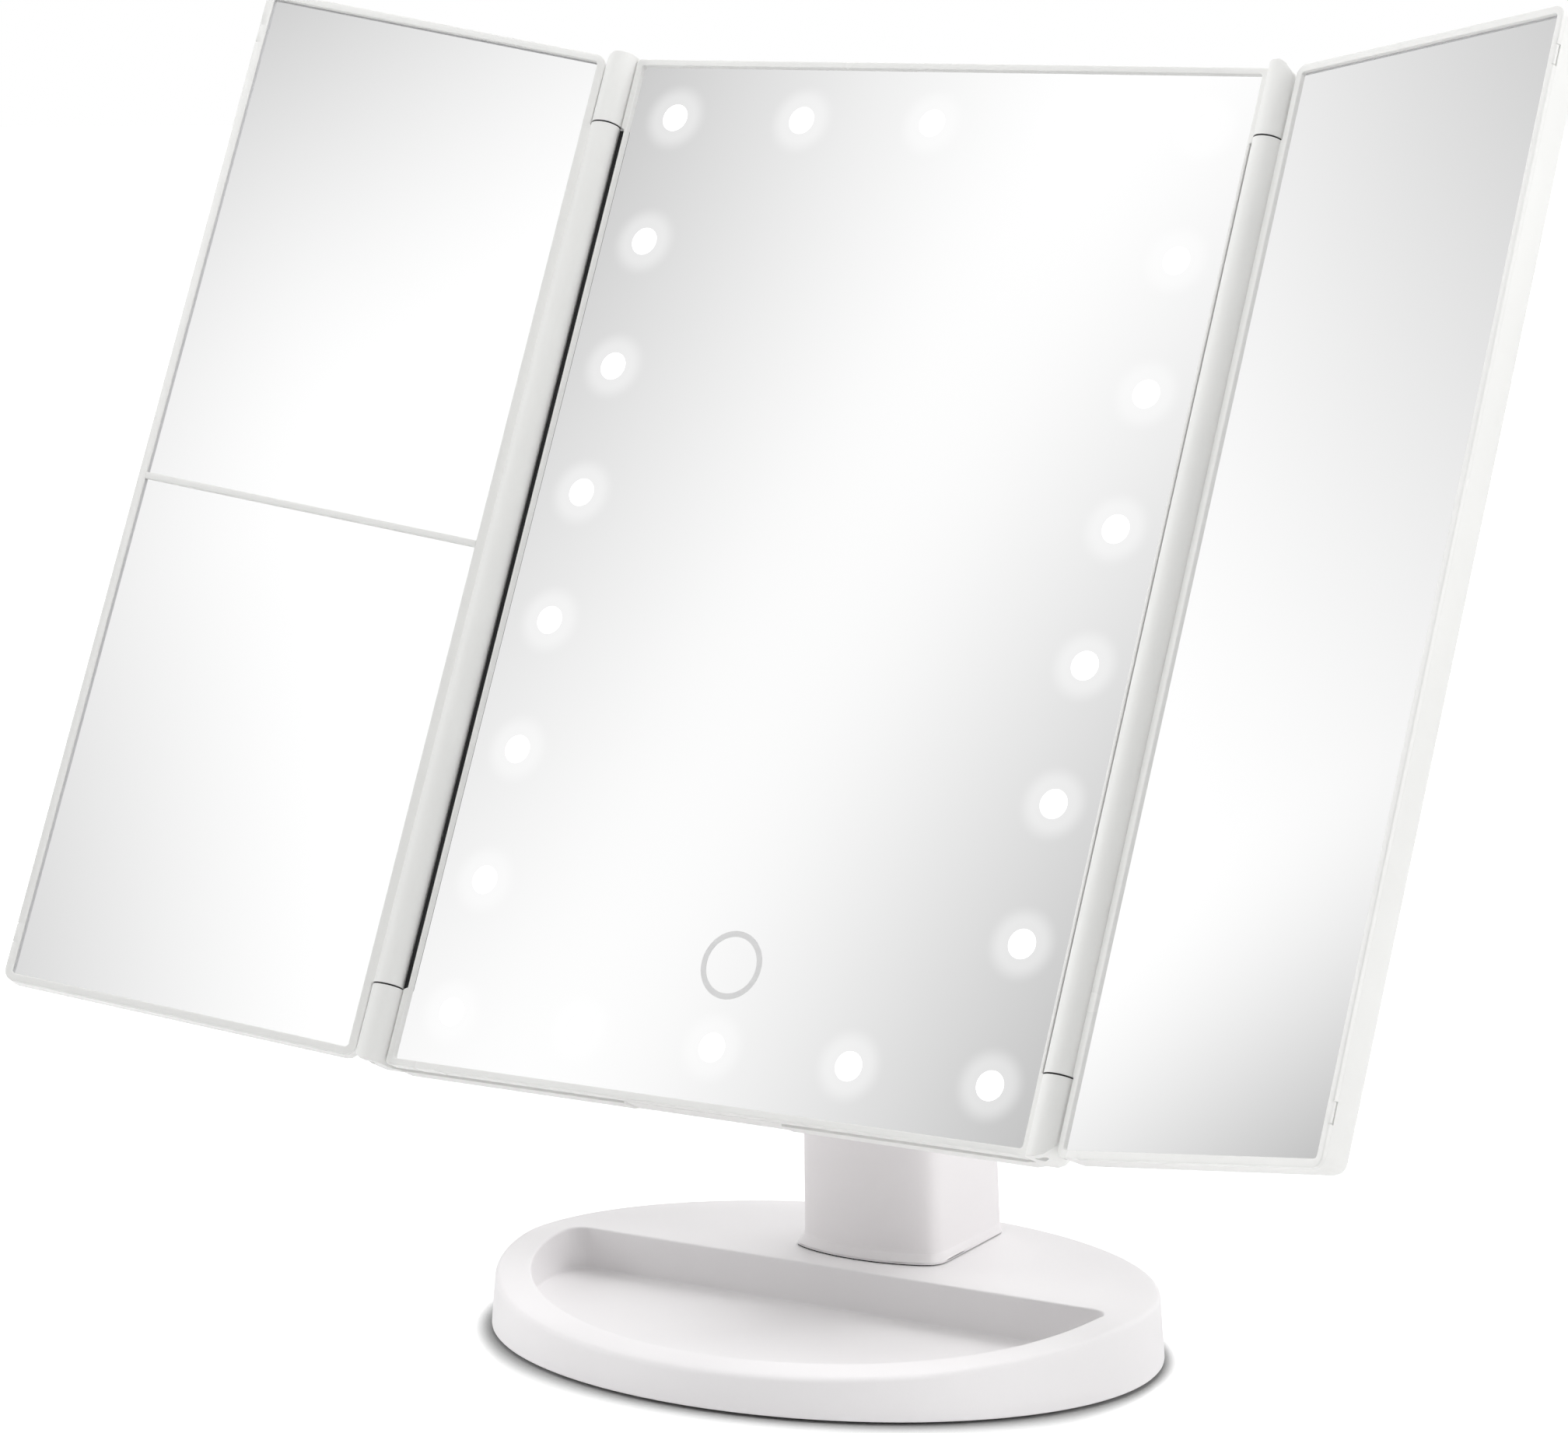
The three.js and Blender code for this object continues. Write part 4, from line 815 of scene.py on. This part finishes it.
def buildBase(look):
    # every ring has the tray's points, and the oval takes them on rays from a point in the tray
    turns = []
    for x, y in trayPlan(0):
        rise = y - look["eye"]
        wide, deep = look["halfWidth"], look["halfDepth"]
        a = (x / wide) ** 2 + (rise / deep) ** 2
        b = 2 * look["eye"] * rise / deep ** 2
        c = (look["eye"] / deep) ** 2 - 1
        reach = (-b + math.sqrt(b * b - 4 * a * c)) / (2 * a)
        turns.append(math.atan2((look["eye"] + reach * rise) / deep, reach * x / wide))

    def oval(inset, drop=None, z=None):
        # drop counts down from the top, z up from the table; the side draws in as it rises
        ring = []
        for turn in turns:
            y = (look["halfDepth"] - inset) * math.sin(turn)
            height = topAt(y) - drop if z is None else z
            less = inset + look["draft"] * (height - look["low"]) / (look["top"] - look["low"])
            x = (look["halfWidth"] - less) * math.cos(turn)
            ring.append((x, (look["halfDepth"] - less) * math.sin(turn), height))
        return ring

    def tray(grow, drop=None, z=None):
        return [(x, y, topAt(y) - drop if z is None else z) for x, y in trayPlan(grow)]

    def across(inner, outer, drop, steps):
        # rings over the top between two edges
        made = []
        for step in range(1, steps):
            part = step / steps
            ring = []
            for (x0, y0, _), (x1, y1, _) in zip(inner, outer):
                y = y0 + (y1 - y0) * part
                ring.append((x0 + (x1 - x0) * part, y, topAt(y) - drop))
            made.append(ring)
        return made

    floor = look["trayFloor"]
    wall = look["wall"]
    trayWall = look["trayWall"]
    # over the tray's fillet, up its wall, over its rim, across the top and down the outside
    fillet = quarter(look["trayFillet"], look["filletRings"])
    rings = [tray(-left, z=floor + sunk) for sunk, left in fillet]
    trayRim = quarter(look["trayRim"], look["trayRimRings"])
    rings += [tray(inward, drop=left) for inward, left in trayRim]
    top = (tray(look["trayRim"], drop=0), oval(look["rim"], drop=0))
    rings += across(*top, 0, look["topRings"])
    rim = quarter(look["rim"], look["rimRings"])
    rings += [oval(inward, drop=left) for inward, left in reversed(rim)]
    foot = quarter(look["foot"], look["footRings"])
    rings += [oval(inward, z=look["low"] + left) for inward, left in foot]
    # and back inside, under the top and the tray
    rings += [oval(wall, z=look["low"]), oval(wall, drop=wall)]
    under = (tray(trayWall, drop=wall), oval(wall, drop=wall))
    rings += reversed(across(*under, wall, look["underRings"]))
    rings += [tray(trayWall, drop=wall), tray(trayWall, z=floor), tray(0, z=floor - trayWall)]
    ringLoft("trayBase", rings, standFrame, "baseAbs", "stand", ["base_shell"])


buildBase(baseLook)

footLook = {
    "front": 12.25,
    "radius": 31.3,
    "span": 16.4,
    "bowSteps": 12,
    # half width, y and rounding of the corners behind the bowed front
    "corners": [(20.2, 19.8, 5.6), (16.2, 54.6, 5.0)],
    "roundSteps": 8,
    "middle": 33.5,
    # height and size of each ring: a short upright lip, then a straight slope to a crisp crease
    "band": [(15.62, 0.996), (15.8, 1.0), (16.05, 1.0), (17.6, 0.945), (17.72, 0.94)],
    # a dark band of painted shade under the foot, for the shadow in the gap there; it shows most at
    # the front left
    "paintedShade": [(15.25, 0.98), (15.7, 0.98)],
    "shadeShift": (-0.35, -0.25),
}


def rounded(before, corner, after, radius, steps):
    # the points of a fillet between two straight lines
    here = Vector(corner)
    inward = (Vector(before) - here).normalized()
    onward = (Vector(after) - here).normalized()
    half = inward.angle(onward) / 2
    centre = here + (inward + onward).normalized() * radius / math.sin(half)
    start = here + inward * radius / math.tan(half) - centre
    end = here + onward * radius / math.tan(half) - centre
    turn = math.atan2(start.x * end.y - start.y * end.x, start.dot(end))
    return [tuple(centre + Matrix.Rotation(turn * i / steps, 2) @ start) for i in range(steps + 1)]


def footPlan(size, z, look=footLook):
    # the column's foot from above: a bowed front, then rounded corners that draw in to the rear
    bow = []
    for i in range(look["bowSteps"] + 1):
        x = look["span"] * (2 * i / look["bowSteps"] - 1)
        bow.append((x, look["front"] + look["radius"] - math.sqrt(look["radius"] ** 2 - x * x)))
    corners = [(x, y) for x, y, _ in look["corners"]]
    corners += [(-x, y) for x, y in reversed(corners)]
    radii = [radius for _, _, radius in look["corners"]]
    radii += reversed(radii)
    line = [bow[-1]] + corners + [bow[0]]
    outline = list(bow)
    for i, radius in enumerate(radii):
        outline += rounded(line[i], line[i + 1], line[i + 2], radius, look["roundSteps"])
    sized = [(x * size, look["middle"] + (y - look["middle"]) * size) for x, y in outline]
    return [(*fitted(x, y, size), z) for x, y in sized]


def buildFoot(look):
    band = [footPlan(size, z) for z, size in look["band"]]
    ringLoft("columnFootBand", band, standFrame, "columnAbs", "stand")
    # the dark band of painted shade under the foot
    paintedShade = [footPlan(size, z) for z, size in look["paintedShade"]]
    shift = Matrix.Translation((look["shadeShift"][0] * mm, look["shadeShift"][1] * mm, 0))
    place = standFrame @ shift
    ringLoft("columnSeal", paintedShade, place, "paintedShadeBlack", "stand")


buildFoot(footLook)
print("base and column foot lofted")

cornerSteps = 6  # in each rounded corner of a frame


def frameRing(x0, x1, halfHeight, radius, z, stops, shaped=0.0, lifted=0.0):
    # a rounded rectangle; a stop on a side is (distance from the middle, drawn in, raised)
    ring = []
    corners = ((x1, 1, 1, 0), (x0, -1, 1, 90), (x0, -1, -1, 180), (x1, 1, -1, 270))
    for x, side, upDown, start in corners:
        straight = []
        for y, inward, rise in stops[side]:
            straight.append((x - side * inward * shaped, y * upDown, z + rise * lifted))
        bend = []
        for i in range(cornerSteps + 1):
            turn = math.radians(start + 90 * i / cornerSteps)
            across = x - side * radius + radius * math.cos(turn)
            bend.append((across, upDown * (halfHeight - radius) + radius * math.sin(turn), z))
        ring += (straight[::-1] + bend) if start in (0, 180) else (bend + straight)
    return ring


bezelLook = {
    # outer and opening: low x, high x, half height, corner; hinge and far: the stops on those sides
    "centre": {
        "outer": (-81.1, 81.1, 119.0, 1.0),
        "opening": (-79.5, 79.5, 117.5, 0.8),
        "top": 1.6,
        "seat": -2.0,
        "pane": 0.02,
        # the skirt behind the glass: set in from the outer edge, past the opening by "lipBack"
        "skirt": 0.5,
        "lipBack": 0.5,
        "hinge": [(102.1, 0, 0), (101.6, 0.95, 0)],
        "far": [(102.1, 0, 0), (101.6, 0.95, 0)],
        "edge": 0.3,
        "innerEdge": 0.15,
    },
    "wing": {
        "outer": (3.75, 84.5, 118.8, 2.5),
        "opening": (5.6, 82.8, 117.0, 0.8),
        "top": -0.35,
        "seat": -1.43,
        "pane": -1.43,
        # beside the moving barrel the frame reaches up to it
        "hinge": [(102.1, 0, 0), (101.6, -0.45, 0)],
        # two fine grooves and a slit mark the catch
        "far": [
            (110.3, 0, 0), (110.22, 0.3, 0), (110.08, 0.3, 0), (110.0, 0, 1),
            (106.0, 0, 1), (105.92, 0.3, 0), (105.78, 0.3, 0), (105.7, 0, 0),
        ],
        "slit": 0.38,
        "edge": 0.3,
        "innerEdge": 0.2,
    },
    "leastCorner": 0.15,
    "skirtShare": 0.6,
    "edgeRings": 4,
    "innerEdgeRings": 3,
}


def buildBezel(name, look, side, place, body, node):
    stops = {side: look["far"], -side: look["hinge"]}

    def outer(inset, z, shaped=1.0, lifted=0.0):
        x0, x1, high, corner = look["outer"]
        x0, x1 = (x0 + inset, x1 - inset) if side > 0 else (-x1 + inset, -x0 - inset)
        corner = max(corner - inset, bezelLook["leastCorner"])
        return frameRing(x0, x1, high - inset, corner, z, stops, shaped, lifted)

    def opening(grow, z):
        x0, x1, high, corner = look["opening"]
        x0, x1 = (x0 - grow, x1 + grow) if side > 0 else (-x1 - grow, -x0 + grow)
        return frameRing(x0, x1, high + grow, corner + grow, z, stops)

    top = look["top"]
    pane = look["pane"]
    rings = [outer(0, look["seat"], lifted=look.get("slit", 0))]
    edge = quarter(look["edge"], bezelLook["edgeRings"])
    rings += [outer(inward, top - left) for inward, left in edge]
    innerEdge = quarter(look["innerEdge"], bezelLook["innerEdgeRings"])
    rings += [opening(inward, top - left) for inward, left in reversed(innerEdge)]
    rings += [opening(0, pane)]
    if "skirt" in look:
        share = bezelLook["skirtShare"]
        rings += [opening(look["lipBack"], pane)]
        rings += [outer(look["skirt"], z, share) for z in (pane, look["seat"])]
    ringLoft(name, rings, place, "frameAbs", body, [node], closed=True)


buildBezel("centreBezel", bezelLook["centre"], 1, headFrame, "head", "head_front_bezel")
buildBezel("leftBezel", bezelLook["wing"], -1, leftFrame, "left_wing", "left_wing_bezel")
buildBezel("rightBezel", bezelLook["wing"], 1, rightFrame, "right_wing", "right_wing_bezel")

railLook = {"half": 0.75, "low": -1.43, "top": -0.35, "edge": 0.2, "edgeRings": 3}


def buildRail(look):
    # the thin rail between the left wing's two panes, its ends against the bezel's inner walls
    x0, x1 = bezelLook["wing"]["opening"][:2]
    section = [(-look["half"], look["low"])]
    for inward, left in quarter(look["edge"], look["edgeRings"]):
        section.append((-look["half"] + inward, look["top"] - left))
    section += [(-y, z) for y, z in reversed(section)]
    rings = [[(x, y, z) for y, z in section] for x in (-x1, -x0)]
    ringLoft("paneRail", rings, leftFrame, "frameAbs", "left_wing")


buildRail(railLook)

# grey strips of painted shade on the glass along the frame, where its shadow falls: frame, wing,
# and x and y ranges in the wing's own frame
shadeStrips = {
    "leftSideStrip": (leftFrame, "left_wing", (-83.0, -82.3), (-117.0, 117.0)),
    "leftTopStrip": (leftFrame, "left_wing", (-82.9, -5.5), (116.65, 117.2)),
    "rightTopStrip": (rightFrame, "right_wing", (5.5, 82.9), (116.65, 117.2)),
}
# each ring of a strip: height, and how far it is drawn in
shadeStripRings = [(-1.47, 0), (-1.36, 0), (-1.32, 0.05)]


def buildStrips(strips, levels):
    # one straight strip of painted shade for each entry
    for name, (place, body, (x0, x1), (y0, y1)) in strips.items():
        rings = []
        for z, inset in levels:
            a, b, c, d = x0 + inset, x1 - inset, y0 + inset, y1 - inset
            rings.append([(a, c, z), (b, c, z), (b, d, z), (a, d, z)])
        ringLoft(name, rings, place, "paintedShadeGrey", body)


buildStrips(shadeStrips, shadeStripRings)

slotShadeLook = {
    "half": 101.9,
    # out from the head's middle, and height above its glass
    "section": [
        (80.1, -2.1), (80.5, -2.1), (80.5, -0.6), (82.85, -0.6),
        (82.24, 0.0), (80.5, 0.0), (80.5, 0.9), (80.1, 0.9),
    ],
}


def buildLiners(look):
    # black strips of painted shade fill the slots beside the long barrels, for the shadow deep in
    # them
    for sideName, side in (("left", -1), ("right", 1)):
        ends = (-look["half"], look["half"])
        rings = [[(side * x, y, z) for x, z in look["section"]] for y in ends]
        name = sideName + "SlotFoam"
        ringLoft(name, rings, headFrame, "paintedShadeBlack", "head")


buildLiners(slotShadeLook)
# the edge strips and the slot foam are painted shade
print("frames, rail, edge strips and slot foam lofted")

# as in the photograph, the glasses show the studio and not the frames' own inner walls
framePieces = [
    "centreBezel", "leftBezel", "rightBezel", "paneRail",
    "headBack", "leftWingBack", "rightWingBack",
]
for name in framePieces:
    bpy.data.objects[name].visible_glossy = False


def turned(name, profile, place, finishName, body, replaced=(), sides=40):
    # a profile of (radius, height) in mm turned about its own axis and capped flat
    turns = [2 * math.pi * i / sides for i in range(sides)]
    rings = []
    for radius, height in profile:
        rings.append([(radius * math.cos(turn), radius * math.sin(turn), height) for turn in turns])
    return ringLoft(name, rings, place, finishName, body, replaced)


roundLook = {
    "pad": [(5.7, 0), (6.2, 0.12), (6.45, 0.4), (6.5, 0.7), (6.5, 1.1)],
    "padPlaces": [(-44, -38), (44, -38), (-44, 38), (44, 38)],
    "axle": [
        (2.1, -18.3), (2.5, -18.1), (2.6, -17.8), (2.6, 17.2), (4.25, 17.2), (4.4, 17.35),
        (4.4, 18.2), (4.3, 18.4), (4.05, 18.5), (2.1, 18.5), (2.0, 18.4), (1.9, 17.7),
    ],
    "tiltAxis": (13, 122.6),
    "pin": [(0.8, 94.2), (1.1, 94.5), (1.1, 116.3), (1.0, 116.6), (0.75, 116.7)],
    "pinSides": 24,
    # a dark ring of painted shade in the seam between a long barrel and a knuckle
    "seamShade": [(3.25, 101.95), (3.35, 101.99), (3.35, 102.21), (3.25, 102.25)],
    "cell": [
        (4.5, 36.1), (5.05, 36.2), (5.25, 36.6), (5.25, 78.7), (5.1, 79.2), (4.7, 79.4),
        (4.2, 79.3), (2.1, 79.35), (1.9, 79.6), (1.9, 80.3), (1.6, 80.6),
    ],
    "cellOut": 5.85,
    "cellMiddle": 32,
}


def buildPads(look):
    for i, (x, y) in enumerate(look["padPlaces"], 1):
        place = standFrame @ Matrix.Translation((x * mm, y * mm, 0))
        node = "foot_pad_" + str(i)
        turned("footPad" + str(i), look["pad"], place, "padRubber", "stand", [node])


def buildAxle(look):
    y, z = look["tiltAxis"]
    across = Matrix.Rotation(math.pi / 2, 4, "Y")
    place = standFrame @ Matrix.Translation((0, y * mm, z * mm)) @ across
    turned("tiltAxle", look["axle"], place, "zincSteel", "head", ["tilt_axle"])


def buildPins(look):
    # a pin at each of the head's four knuckles, and a dark ring of painted shade in each seam
    for sideName, side in (("left", -1), ("right", 1)):
        for endName, end in (("top", 1), ("bottom", -1)):
            place = headFrame @ hingeAt(side) @ Matrix.Rotation(-end * math.pi / 2, 4, "X")
            node = "hinge_pin_" + sideName + "_" + endName
            pin = sideName + "Pin" + endName.capitalize()
            turned(pin, look["pin"], place, "zincSteel", "head", [node], look["pinSides"])
            seamShade = sideName + "Seam" + endName.capitalize()
            paintedShade = turned(seamShade, look["seamShade"], place, "paintedShadeBlack", "head")
            paintedShade.visible_glossy = False


def buildCells(look):
    number = 0
    for row in (-1, 1):
        for side in (-1, 1):
            number += 1
            x, y = side * look["cellOut"], look["cellMiddle"] + row * look["cellOut"]
            place = standFrame @ Matrix.Translation((x * mm, y * mm, 0))
            node = "battery_cell_" + str(number)
            turned("cell" + str(number), look["cell"], place, "cellCan", "stand", [node])


buildPads(roundLook)
buildAxle(roundLook)
buildPins(roundLook)
buildCells(roundLook)
print("round pieces turned")


def newTree(name, sizes):
    # a tree with one named input for each size: a count when it is whole, or else a length
    tree = bpy.data.node_groups.new(name, "GeometryNodeTree")
    tree.interface.new_socket("Geometry", in_out="INPUT", socket_type="NodeSocketGeometry")
    for label, value in sizes.items():
        kind = "NodeSocketInt" if isinstance(value, int) else "NodeSocketFloat"
        tree.interface.new_socket(label, in_out="INPUT", socket_type=kind)
    tree.interface.new_socket("Geometry", in_out="OUTPUT", socket_type="NodeSocketGeometry")
    return tree


def ended(tree, geometry, place, finishName):
    # the end of every tree: its geometry in its frame, made real, with its finish
    moved = add(tree, "GeometryNodeTransform", {
        "Geometry": geometry, "Translation": place.translation, "Rotation": place.to_euler(),
    })
    real = add(tree, "GeometryNodeRealizeInstances", [moved])
    painted = add(tree, "GeometryNodeSetMaterial", {
        "Geometry": real, "Material": finish[finishName],
    })
    add(tree, "NodeGroupOutput", [painted])
    return tree


def grown(name, tree, sizes, body):
    # runs a tree on an empty object, with its lengths in metres, and keeps the plain mesh it makes
    holder = linked(name + "Holder", bpy.data.meshes.new(name + "Seed"))
    modifier = holder.modifiers.new("grow", "NODES")
    modifier.node_group = tree
    for item in tree.interface.items_tree:
        if item.item_type == "SOCKET" and item.in_out == "INPUT" and item.name in sizes:
            size = sizes[item.name]
            modifier[item.identifier] = size if isinstance(size, int) else size * mm
    graph = bpy.context.evaluated_depsgraph_get()
    mesh = bpy.data.meshes.new_from_object(holder.evaluated_get(graph), depsgraph=graph)
    bpy.data.objects.remove(holder)
    mesh.name = name
    made = linked(name, mesh)
    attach(made, body)
    return made


# the windows stand on the border of this grid, at the lamps' spacing; lengths in mm
windowSizes = {
    "Columns": 5,
    "Rows": 8,
    "Pitch Across": lampLook["pitchAcross"],
    "Pitch Up": lampLook["pitchUp"],
    "Radius": 3.2,
    "Thickness": 0.06,
    "Sides": 40,
}
windowBorder = 0.49  # share of the grid's span past which a place is on its border


def lampWindowTree(sizes):
    # discs at every place of the grid that lies on its border
    tree = newTree("lampWindows", sizes)
    given = add(tree, "NodeGroupInput").outputs
    spans = []
    for count, pitch in (("Columns", "Pitch Across"), ("Rows", "Pitch Up")):
        gaps = add(tree, "ShaderNodeMath", [given[count], 1], operation="SUBTRACT")
        spans.append(add(tree, "ShaderNodeMath", [gaps, given[pitch]], operation="MULTIPLY"))
    grid = add(tree, "GeometryNodeMeshGrid", {
        "Size X": spans[0], "Size Y": spans[1], "Vertices X": given["Columns"],
        "Vertices Y": given["Rows"],
    })
    place = add(tree, "GeometryNodeInputPosition")
    axes = add(tree, "ShaderNodeSeparateXYZ", [place]).outputs
    inner = []
    for axis, span in enumerate(spans):
        out = add(tree, "ShaderNodeMath", [axes[axis]], operation="ABSOLUTE")
        edge = add(tree, "ShaderNodeMath", [span, windowBorder], operation="MULTIPLY")
        inner.append(add(tree, "ShaderNodeMath", [out, edge], operation="LESS_THAN"))
    inside = add(tree, "ShaderNodeMath", inner, operation="MULTIPLY")
    border = add(tree, "GeometryNodeDeleteGeometry", {
        "Geometry": grid, "Selection": inside,
    }, domain="POINT")
    disc = add(tree, "GeometryNodeMeshCylinder", {
        "Vertices": given["Sides"], "Radius": given["Radius"], "Depth": given["Thickness"],
    }, fill_type="NGON")
    many = add(tree, "GeometryNodeInstanceOnPoints", {"Points": border, "Instance": disc})
    return ended(tree, many, headFrame, "opal")


grown("lampWindows", lampWindowTree(windowSizes), windowSizes, "head")

# the ring's radius, line and place along the glass in mm, and its steps round
ringSizes = {"Radius": 6.85, "Line": 1.3, "Thickness": 0.06, "Along": -87.3, "Steps": 96}


def touchRingTree(sizes):
    # the printed ring that marks the touch switch: a flat line swept round a circle
    tree = newTree("touchRing", sizes)
    given = add(tree, "NodeGroupInput").outputs
    path = add(tree, "GeometryNodeCurvePrimitiveCircle", {
        "Resolution": given["Steps"], "Radius": given["Radius"],
    })
    line = add(tree, "GeometryNodeCurvePrimitiveQuadrilateral", {
        "Width": given["Line"], "Height": given["Thickness"],
    })
    ring = add(tree, "GeometryNodeCurveToMesh", [path, line])
    flat = add(tree, "GeometryNodeSetShadeSmooth", {"Geometry": ring, "Shade Smooth": False})
    along = add(tree, "ShaderNodeCombineXYZ", {1: given["Along"]})
    moved = add(tree, "GeometryNodeTransform", {"Geometry": flat, "Translation": along})
    return ended(tree, moved, headFrame, "ringPrint")


grown("touchRing", touchRingTree(ringSizes), ringSizes, "head")
print("lamp windows and touch ring set")

# the screws' places and lengths in mm, and the sides of head and shaft; the crown is the head's
# outer face, the point the shaft's end, and the recess a cross of two slots
screwSizes = {
    "Side X": 64.0,
    "Side Y": 13.0,
    "Rear X": 24.0,
    "Rear Y": 50.0,
    "Head Radius": 2.3,
    "Crown Radius": 1.978,
    "Head Thickness": 1.1,
    "Head Sides": 36,
    "Low": 0.4,
    "Shaft Radius": 1.1,
    "Point Radius": 0.66,
    "Shaft Length": 6.9,
    "Shaft Sides": 20,
    "Slot Length": 3.0,
    "Slot Width": 0.75,
    "Slot Depth": 0.6,
}


def screwTree(sizes):
    # pan heads with a cross recess, each on its shaft, at four places under the base
    tree = newTree("baseScrews", sizes)
    given = add(tree, "NodeGroupInput").outputs
    places = add(tree, "GeometryNodeJoinGeometry")
    for across, along in (("Side X", "Side Y"), ("Rear X", "Rear Y")):
        right = add(tree, "ShaderNodeCombineXYZ", [given[across], given[along]])
        left = add(tree, "ShaderNodeVectorMath", [right, (-1, 1, 1)], operation="MULTIPLY")
        pair = add(tree, "GeometryNodeMeshLine", {
            "Count": 2, "Start Location": left, "Offset": right,
        }, mode="END_POINTS")
        tree.links.new(pair.outputs[0], places.inputs[0])
    head = add(tree, "GeometryNodeMeshCone", {
        "Vertices": given["Head Sides"], "Radius Top": given["Head Radius"],
        "Radius Bottom": given["Crown Radius"], "Depth": given["Head Thickness"],
    }, fill_type="NGON")
    # each bar of the cross is cut by itself, half of it inside the head
    deep = add(tree, "ShaderNodeMath", [given["Slot Depth"], 2.0], operation="MULTIPLY")
    recessed = head
    for wide, long in (("Slot Length", "Slot Width"), ("Slot Width", "Slot Length")):
        size = add(tree, "ShaderNodeCombineXYZ", [given[wide], given[long], deep])
        bar = add(tree, "GeometryNodeMeshCube", {"Size": size})
        cut = {"operation": "DIFFERENCE", "solver": "MANIFOLD"}
        recessed = add(tree, "GeometryNodeMeshBoolean", [recessed, bar], **cut)
    shaft = add(tree, "GeometryNodeMeshCone", {
        "Vertices": given["Shaft Sides"], "Radius Top": given["Point Radius"],
        "Radius Bottom": given["Shaft Radius"], "Depth": given["Shaft Length"],
    }, fill_type="NGON")
    above = add(tree, "ShaderNodeCombineXYZ", {2: given["Head Thickness"]})
    raised = add(tree, "GeometryNodeTransform", {"Geometry": shaft, "Translation": above})
    screw = add(tree, "GeometryNodeJoinGeometry")
    for piece in (raised, recessed):
        tree.links.new(piece.outputs[0], screw.inputs[0])
    many = add(tree, "GeometryNodeInstanceOnPoints", {"Points": places, "Instance": screw})
    low = add(tree, "ShaderNodeCombineXYZ", {2: given["Low"]})
    lifted = add(tree, "GeometryNodeTransform", {"Geometry": many, "Translation": low})
    return ended(tree, lifted, standFrame, "zincSteel")


screws = grown("baseScrews", screwTree(screwSizes), screwSizes, "stand")
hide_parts("base_screw_1", "base_screw_2", "base_screw_3", "base_screw_4")
print("base screws set")
